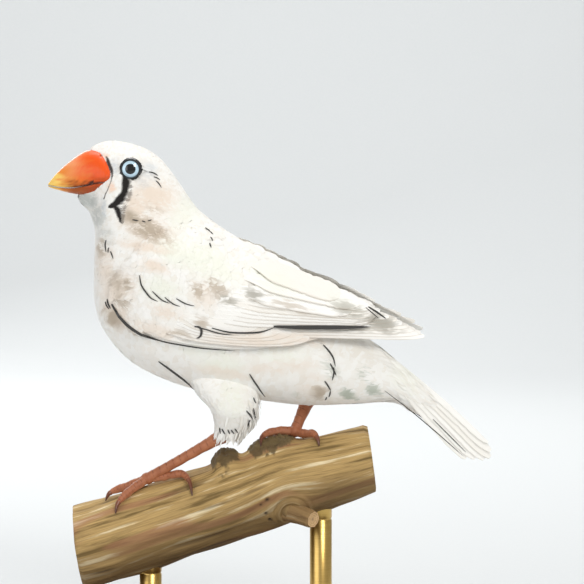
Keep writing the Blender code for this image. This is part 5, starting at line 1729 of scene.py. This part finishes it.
face = np.sqrt(np.linspace(0.001, 1, 12, endpoint=False))[::-1, None, None]
hollow = -0.25 * (1 - face) * twig_ahead
twig_rings = np.concatenate([twig_rings, TWIG_TIP + (twig_rings[-1] - TWIG_TIP) * face + hollow])
is_face = np.concatenate([np.zeros(70), np.ones(12)])[:, None] + 0 * twig_turn
face_out = np.concatenate([np.ones(70), face[:, 0, 0]])[:, None]
twig_marks = {
    "cut_face": is_face * (0.65 + 0.35 * np.sin(2 * math.pi * face_out * 3.5)),
    # Painted shade in the sunk middle of the cut face
    "hollow_painted_shade": is_face * 0.5 * np.exp(-((face_out / 0.18) ** 2)),
    # The twig stub lies low on the branch and gets the underside's painted shade
    "underside_and_knot_painted_shade": 0.55 * (1 - is_face), "red_streak": 0.25 * (1 - is_face),
}
twig_grain = np.stack([np.concatenate([twig_share * 8, np.full(12, 8.0)])[:, None] + 0 * twig_turn,
                       twig_turn * 1.75 + 0 * is_face], -1)
add_piece("twig_stub", twig_rings, peeled_wood, {"grain": twig_grain[None]},
          {key: value[None] for key, value in twig_marks.items()}, sharp=50)

# %% [markdown]
# ## Legs and feet
# A bird's shank and toes are covered in horny scales: broad plates overlapping downwards along the
# front and on top of the toes, and small soft pads below that grip. Each is a tube along a path
# with its own up direction; the plates are a saw-tooth added to its radius, and each claw is a
# separate curved cone of darker horn.

# %% Shanks, toes and claws
ANKLE = {"left": (-3.4, 4.8, 42.4), "right": (10.9, 5.0, 46.9)}
SHANK_RADII = {"left": (1.75, 1.08, 0.92, 1.0), "right": (1.6, 1.2, 1.0, 1.05)}
FOOT = {"left": (-16.6, 13.0), "right": (10.9, -13.0)}
FOOT_LIFT = 1.35
# Toes: steps along the branch and turns round it in degrees, from the foot to the claw's tip
TOES = {
    "left": [
        ((-2.2, -5), (-4.4, -8), (-6.2, -9), (-7.6, -5), (-8.4, 5)),
        ((-1.7, 6), (-3.4, 12), (-4.9, 19), (-6.2, 28), (-6.9, 38)),
        ((-1.6, -14), (-3.4, -30), (-5.0, -44), (-6.2, -57), (-6.9, -68)),
        ((2.2, 1), (4.4, 3), (6.4, 9), (7.3, 28), (7.2, 47)),
    ],
    "right": [
        ((-1.8, -6), (-3.6, -18), (-5.0, -33), (-6.1, -48), (-6.6, -60)),
        ((-1.0, -16), (-2.2, -34), (-3.2, -52), (-4.0, -68), (-4.4, -80)),
        ((-1.8, 3), (-3.2, 6), (-4.6, 11), (-5.7, 20), (-6.2, 30)),
        ((1.2, 7), (2.3, 17), (3.2, 29), (3.7, 42), (3.7, 53)),
    ],
}
TOE_RADII = np.array([1.0, 0.8, 0.75, 0.7, 0.5, 0.14])
CLAW_FROM = 3.75
PLATE_PITCH = 1.5
TOE_PLATE_PITCH = 0.8


def scale_material():
    """Horny scales: red-brown plates with darker seams and a dry, slightly polished surface."""
    made, tree, shader = start_material("horny_leg_scales")
    place = add_node(tree, "ShaderNodeTexCoord")
    blotch = add_node(
        tree, "ShaderNodeTexNoise", {"Vector": place.outputs["Object"], "Scale": 700.0, "Detail": 3.0},
    )
    colour = add_node(
        tree, "ShaderNodeMix", {0: blotch.outputs[0], 6: paint("#935233"), 7: paint("#bf7d58")},
        data_type="RGBA",
    ).outputs[2]
    for mark, code in (("seam", "#5e2f1e"), ("pad", "#c58a6a")):
        share = add_node(tree, "ShaderNodeAttribute", attribute_name=mark)
        colour = add_node(
            tree, "ShaderNodeMix", {0: share.outputs["Fac"], 6: colour, 7: paint(code)},
            data_type="RGBA",
        ).outputs[2]
    grain = add_node(
        tree, "ShaderNodeTexNoise", {"Vector": place.outputs["Object"], "Scale": 5000.0, "Detail": 2.0},
    )
    bump = add_node(
        tree, "ShaderNodeBump", {"Height": grain.outputs[0], "Strength": 0.3, "Distance": 0.05 * MM},
    )
    tree.links.new(colour, shader.inputs["Base Color"])
    tree.links.new(bump.outputs[0], shader.inputs["Normal"])
    shader.inputs["Roughness"].default_value = 0.5
    shader.inputs["Specular IOR Level"].default_value = 0.4
    return made


def claw_material():
    """Claw horn: smooth and glossy, darker towards the point."""
    made, tree, shader = start_material("claw_horn")
    share = add_node(tree, "ShaderNodeAttribute", attribute_name="claw_tip")
    colour = add_node(
        tree, "ShaderNodeMix", {0: share.outputs["Fac"], 6: paint("#8a5238"), 7: paint("#3c241a")},
        data_type="RGBA",
    )
    tree.links.new(colour.outputs[2], shader.inputs["Base Color"])
    shader.inputs["Roughness"].default_value = 0.28
    return made


def plated_tube(line, up, radius, along, pitch, sides, front):
    """A tube whose radius carries overlapping plates on its upper side and soft pads below.

    The plate's height is a saw-tooth of the distance along: it rises over the first sixth of the
    pitch and falls back slowly. The seam mark is 1 in the step between two plates.
    """
    ahead = unit(np.gradient(line, axis=-2))
    side = unit(np.cross(up, ahead))
    top = np.cross(ahead, side)
    turn = np.linspace(0, 2 * math.pi, sides, endpoint=False)
    share = (along[..., None] / pitch + 0.10 * np.cos(turn)) % 1.0
    plate = ease(0.0, 0.16, share) * (1 - 0.55 * share)
    on_top = ease(-0.35, 0.15, np.cos(turn))
    pad_wave = 0.5 + 0.5 * np.cos(2 * math.pi * along[..., None] / (2.1 * pitch))
    below = ease(0.1, -0.7, np.cos(turn))
    swell = 1 + front * 0.13 * (plate - 0.45) * on_top + 0.16 * below * pad_wave * (1 - front * 0.6)
    reach = radius[..., None] * swell
    points = line[..., None, :] + (
        (reach * np.cos(turn))[..., None] * top[..., None, :]
        + (reach * np.sin(turn))[..., None] * side[..., None, :]
    )
    seam = (1 - ease(0.0, 0.14, share)) * on_top
    return points, seam, below + 0 * reach


scales, claw_horn = scale_material(), claw_material()
for leg, side in SIDES.items():
    foot_x, foot_turn = FOOT[leg][0], math.radians(FOOT[leg][1])
    joint = perch_point(np.array(foot_x), np.array(foot_turn), FOOT_LIFT)
    ankle = np.array([ANKLE[leg][0], side * ANKLE[leg][1], ANKLE[leg][2]])
    shank_ahead = unit(joint - ankle)
    shank_length = np.linalg.norm(joint - ankle) + 1.2
    share = np.linspace(0, 1, 120)
    shank_line = (ankle - shank_ahead * 0.9) + shank_ahead * (shank_length * share)[:, None]
    radius = smooth_rows(np.array(SHANK_RADII[leg])[:, None], np.interp(share, (0, 0.3, 0.7, 1), range(4)))[:, 0]
    front = np.broadcast_to(unit(np.array((-0.75, 0.0, 0.65))), shank_line.shape)
    points, seam, below = plated_tube(shank_line, front, radius, share * shank_length, PLATE_PITCH, 32, 1.0)
    shank = add_piece("shank_scales_" + leg, points, scales, marks={"seam": seam[None] * 0.8, "pad": 0.0 * below[None]}, sharp=70)
    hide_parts("shank_" + leg)

    steps = np.array(TOES[leg], float)
    x = np.concatenate([np.zeros((4, 1)), steps[..., 0]], 1) + foot_x
    turn = np.radians(np.concatenate([np.zeros((4, 1)), steps[..., 1]], 1)) + foot_turn
    lift = np.concatenate([[FOOT_LIFT], TOE_RADII[1:] + 0.28])
    knots = perch_point(x, turn, lift)
    places = np.linspace(0, CLAW_FROM + 0.15, 76)
    toe_lines = np.stack([smooth_rows(toe, places) for toe in knots])
    z_axis, _, slope = perch_centre(toe_lines[..., 0])
    toe_up = unit(np.stack([
        -(toe_lines[..., 2] - z_axis) * np.sin(slope), toe_lines[..., 1], (toe_lines[..., 2] - z_axis) * np.cos(slope),
    ], -1))
    toe_along = np.concatenate([np.zeros((4, 1)), np.cumsum(np.linalg.norm(np.diff(toe_lines, axis=1), axis=-1), axis=1)], 1)
    toe_radius = np.interp(places, np.arange(6), TOE_RADII) * (1 - 0.35 * ease(3.2, 3.9, places))
    toe_radius = toe_radius * (1 + 0.07 * np.cos(2 * math.pi * places / 1.25))
    toe_points, seam, below = plated_tube(
        toe_lines, toe_up, np.broadcast_to(toe_radius, toe_along.shape), toe_along, TOE_PLATE_PITCH, 22, 0.8,
    )
    tilt = np.linspace(0.02, math.pi - 0.02, 76)[:, None]
    ball_turn = np.linspace(0, 2 * math.pi, 22, endpoint=False)
    pad_ball = np.stack([
        joint[0] + 1.3 * np.cos(tilt) + 0 * ball_turn, joint[1] + 1.25 * np.sin(tilt) * np.cos(ball_turn),
        joint[2] + 1.15 * np.sin(tilt) * np.sin(ball_turn),
    ], -1)[None]
    if signed_volume(pad_ball.reshape(-1, 3), ring_faces(1, 76, 22)) * signed_volume(toe_points.reshape(-1, 3), ring_faces(4, 76, 22)) < 0:
        pad_ball = pad_ball[:, :, ::-1]
    foot = add_piece(
        "toe_scales_" + leg, np.concatenate([toe_points, pad_ball]), scales,
        marks={"seam": np.concatenate([seam * 0.8, 0 * seam[:1]]), "pad": np.concatenate([below * 0.5, 0 * below[:1]])},
        sharp=70,
    )
    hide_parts("foot_" + leg)
    claw_places = np.linspace(CLAW_FROM, 5.0, 26)
    claw_share = (claw_places - CLAW_FROM) / (5.0 - CLAW_FROM)
    claw_lines = np.stack([smooth_rows(toe, claw_places) for toe in knots])
    claw_lines[..., 2] -= 0.25 * claw_share**2
    claw_radius = 0.44 * (1 - claw_share) ** 0.8 + 0.035
    claw_up = np.broadcast_to(toe_up[:, -1:], claw_lines.shape)
    claw_points, _, _ = plated_tube(claw_lines, claw_up, np.broadcast_to(claw_radius, claw_lines.shape[:2]), 0 * claw_share + np.zeros((4, 1)), 9.0, 14, 0.0)
    add_piece("claws_" + leg, claw_points, claw_horn, marks={"claw_tip": np.broadcast_to(claw_share[None, :, None], claw_points.shape[:3])}, sharp=70)

# %% [markdown]
# ## The stand
# The branch is held by two brass rods on a small plate of dark wood. The plate's edge is routed to
# a soft moulding, so its outline is repeated at several insets and heights; each rod is turned,
# with a small ferrule at its foot.

# %% Base and rods
BASE_HALF_LENGTH, BASE_HALF_WIDTH, BASE_THICK, BASE_CORNER = 38.0, 24.0, 5.0, 12.0
ROD_RADIUS, ROD_X = 2.1, {"front": -19.0, "rear": 13.5}
# Inset and height of the routed edge
MOULDING = np.array([
    (3.0, 0.0), (0.8, 0.0), (0.25, 0.15), (0.0, 0.55), (0.0, 2.1), (0.12, 2.35), (0.5, 2.5), (0.62, 2.75),
    (0.75, 3.3), (1.15, 3.9), (1.8, 4.35), (2.5, 4.5), (2.75, 4.6), (2.85, 4.82), (3.1, 4.97), (3.6, 5.0), (6.0, 5.0),
])


def plate_outline(inset, turn):
    """A rectangle with round corners: the corner's middle plus its radius towards the turn."""
    corner = BASE_CORNER - inset
    x = np.sign(np.cos(turn)) * (BASE_HALF_LENGTH - BASE_CORNER) + corner * np.cos(turn)
    y = np.sign(np.sin(turn)) * (BASE_HALF_WIDTH - BASE_CORNER) + corner * np.sin(turn)
    return x, y


def varnish_material():
    """Dark varnished wood: long brown grain seen through a clear, glossy coat."""
    made, tree, shader = start_material("varnished_walnut")
    place = add_node(tree, "ShaderNodeTexCoord")
    stretched = add_node(
        tree, "ShaderNodeMapping", {"Vector": place.outputs["Object"], "Scale": (40.0, 600.0, 600.0)},
    )
    grain = add_node(
        tree, "ShaderNodeTexNoise", {"Vector": stretched.outputs[0], "Scale": 1.0, "Detail": 6.0, "Distortion": 0.6},
    )
    share = add_node(tree, "ShaderNodeMapRange", {0: grain.outputs[0], 1: 0.35, 2: 0.65})
    colour = add_node(
        tree, "ShaderNodeMix", {0: share.outputs[0], 6: paint("#2c1a10"), 7: paint("#6a4428")},
        data_type="RGBA",
    )
    tree.links.new(colour.outputs[2], shader.inputs["Base Color"])
    shader.inputs["Roughness"].default_value = 0.4
    shader.inputs["Coat Weight"].default_value = 0.7
    shader.inputs["Coat Roughness"].default_value = 0.12
    return made


def brass_material():
    """Turned and brushed brass: yellow metal with fine rings that stretch the highlights."""
    made, tree, shader = start_material("brushed_brass")
    place = add_node(tree, "ShaderNodeTexCoord")
    stretched = add_node(
        tree, "ShaderNodeMapping", {"Vector": place.outputs["Object"], "Scale": (200.0, 200.0, 9000.0)},
    )
    rings = add_node(tree, "ShaderNodeTexNoise", {"Vector": stretched.outputs[0], "Scale": 1.0, "Detail": 2.0})
    bump = add_node(
        tree, "ShaderNodeBump", {"Height": rings.outputs[0], "Strength": 0.25, "Distance": 0.03 * MM},
    )
    colour = add_node(
        tree, "ShaderNodeMix", {0: rings.outputs[0], 6: paint("#b8924a"), 7: paint("#dcbd76")},
        data_type="RGBA",
    )
    tree.links.new(colour.outputs[2], shader.inputs["Base Color"])
    tree.links.new(bump.outputs[0], shader.inputs["Normal"])
    shader.inputs["Metallic"].default_value = 1.0
    shader.inputs["Roughness"].default_value = 0.3
    return made


quarter = np.linspace(0.001, math.pi / 2 - 0.001, 14)
outline_turn = np.concatenate([quarter + k * math.pi / 2 for k in range(4)])
plate_rings = np.stack([
    np.stack([*plate_outline(inset, outline_turn), np.full(len(outline_turn), height)], -1)
    for inset, height in MOULDING
])
plate = add_piece("stand_plate", plate_rings, varnish_material(), sharp=60)
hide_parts("stand_base")
brass = brass_material()
for place, x_rod in ROD_X.items():
    top = float(perch_centre(np.array(x_rod))[0]) - 6.5
    profile = np.array([
        (0.3, 5.0), (3.4, 5.0), (3.5, 5.15), (3.5, 5.6), (3.3, 5.8), (2.7, 5.9), (2.55, 6.1), (2.5, 6.9),
        (2.3, 7.1), (2.1, 7.15), (2.1, top - 2.6), (2.0, top - 2.5), (2.0, top - 2.2), (2.1, top - 2.1),
        (2.1, top), (0.3, top),
    ])
    rod_turn = np.linspace(0, 2 * math.pi, 64, endpoint=False)
    rod_rings = np.stack([
        x_rod + profile[:, :1] * np.cos(rod_turn), profile[:, :1] * np.sin(rod_turn),
        profile[:, 1:] + 0 * rod_turn,
    ], -1)
    rod = add_piece("stand_rod_turned_" + place, rod_rings, brass, sharp=50)
    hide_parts("stand_rod_" + place)

# %% [markdown]
# ## Light, floor and camera
# A soft key lamp from the upper right leaves the small light in the eye, two weaker ones open the
# shadows, and a pale sheet that curves up behind serves as floor and wall.

# %% Stage
floor_side, floor_rise = np.linspace(-1.6, 1.6, 9), np.linspace(0, 1, 60)
bend = 0.35
run = np.linspace(-1.4, 1.6, 60)
sweep_y = np.where(run < 0.6, run, 0.6 + bend * np.sin(np.clip((run - 0.6) / bend, 0, math.pi / 2)))
sweep_z = np.where(run < 0.6, 0.0, bend * (1 - np.cos(np.clip((run - 0.6) / bend, 0, math.pi / 2))))
sweep_z = sweep_z + np.maximum(run - 0.6 - bend * math.pi / 2, 0) * 3
grid_x, grid_i = np.meshgrid(floor_side, np.arange(60), indexing="ij")
floor_points = np.stack([grid_x, sweep_y[grid_i], sweep_z[grid_i] - 0.00005], -1).reshape(-1, 3)
corner = (np.arange(8)[:, None] * 60 + np.arange(59)[None, :]).ravel()
floor_faces = np.stack([corner, corner + 60, corner + 61, corner + 1], -1)
floor_mesh = bpy.data.meshes.new("floor")
floor_mesh.from_pydata(floor_points.tolist(), [], floor_faces.tolist())
floor_mesh.shade_smooth()
floor = bpy.data.objects.new("floor", floor_mesh)
bpy.context.scene.collection.objects.link(floor)
paper, tree, shader = start_material("matt_backdrop_paper")
place = add_node(tree, "ShaderNodeTexCoord")
grain = add_node(tree, "ShaderNodeTexNoise", {"Vector": place.outputs["Object"], "Scale": 900.0})
tone = add_node(
    tree, "ShaderNodeMix", {0: grain.outputs[0], 6: paint("#cfd2d3"), 7: paint("#d4d6d6")},
    data_type="RGBA",
)
tree.links.new(tone.outputs[2], shader.inputs["Base Color"])
shader.inputs["Roughness"].default_value = 0.95
floor_mesh.materials.append(paper)


def add_lamp(name, place, target, size, power, tint="#ffffff"):
    """A square area lamp at a place, turned to look at a target; metres and watts."""
    lamp = bpy.data.lights.new(name, "AREA")
    lamp.size, lamp.energy, lamp.color = size, power, paint(tint)[:3]
    made = bpy.data.objects.new(name, lamp)
    bpy.context.scene.collection.objects.link(made)
    aim = np.array(target) - np.array(place)
    made.location = place
    made.rotation_euler = direction_angles(aim)
    return made


def direction_angles(aim):
    """Euler angles that turn an object's -Z axis along a direction, with its Y axis kept up."""
    flat = math.hypot(aim[0], aim[1])
    return (math.pi / 2 + math.atan2(aim[2], flat), 0.0, math.atan2(aim[1], aim[0]) - math.pi / 2)


AIM = (0.008, 0.0, 0.0683)
add_lamp("key", (0.23, -0.50, 0.34), AIM, 0.21, 1.48, "#fffefb")
add_lamp("fill", (-0.52, -0.52, 0.06), AIM, 0.60, 2.2, "#f8faff")
add_lamp("top", (0.0, 0.05, 0.75), AIM, 0.60, 1.0)
add_lamp("rim", (-0.25, 0.55, 0.35), AIM, 0.35, 1.3)
add_lamp("backdrop", (0.0, 0.22, 0.80), (0.0, 0.95, 0.20), 0.50, 5.0)
world = bpy.data.worlds.new("studio")
bpy.context.scene.world = world
world.use_nodes = True
world.node_tree.nodes["Background"].inputs["Color"].default_value = paint("#f2f2f2")
world.node_tree.nodes["Background"].inputs["Strength"].default_value = 0.5
bpy.context.scene.view_settings.view_transform = "Standard"

camera_data = bpy.data.cameras.new("camera")
camera_data.lens, camera_data.sensor_width = 135.0, 36.0
camera_data.clip_start, camera_data.clip_end = 0.01, 10.0
camera = bpy.data.objects.new("camera", camera_data)
bpy.context.scene.collection.objects.link(camera)
CAMERA_REACH, CAMERA_LIFT = 0.416, math.radians(2.5)
camera.location = (
    AIM[0], AIM[1] - CAMERA_REACH * math.cos(CAMERA_LIFT), AIM[2] + CAMERA_REACH * math.sin(CAMERA_LIFT),
)
camera.rotation_euler = direction_angles(np.array(AIM) - np.array(camera.location))
bpy.context.scene.camera = camera
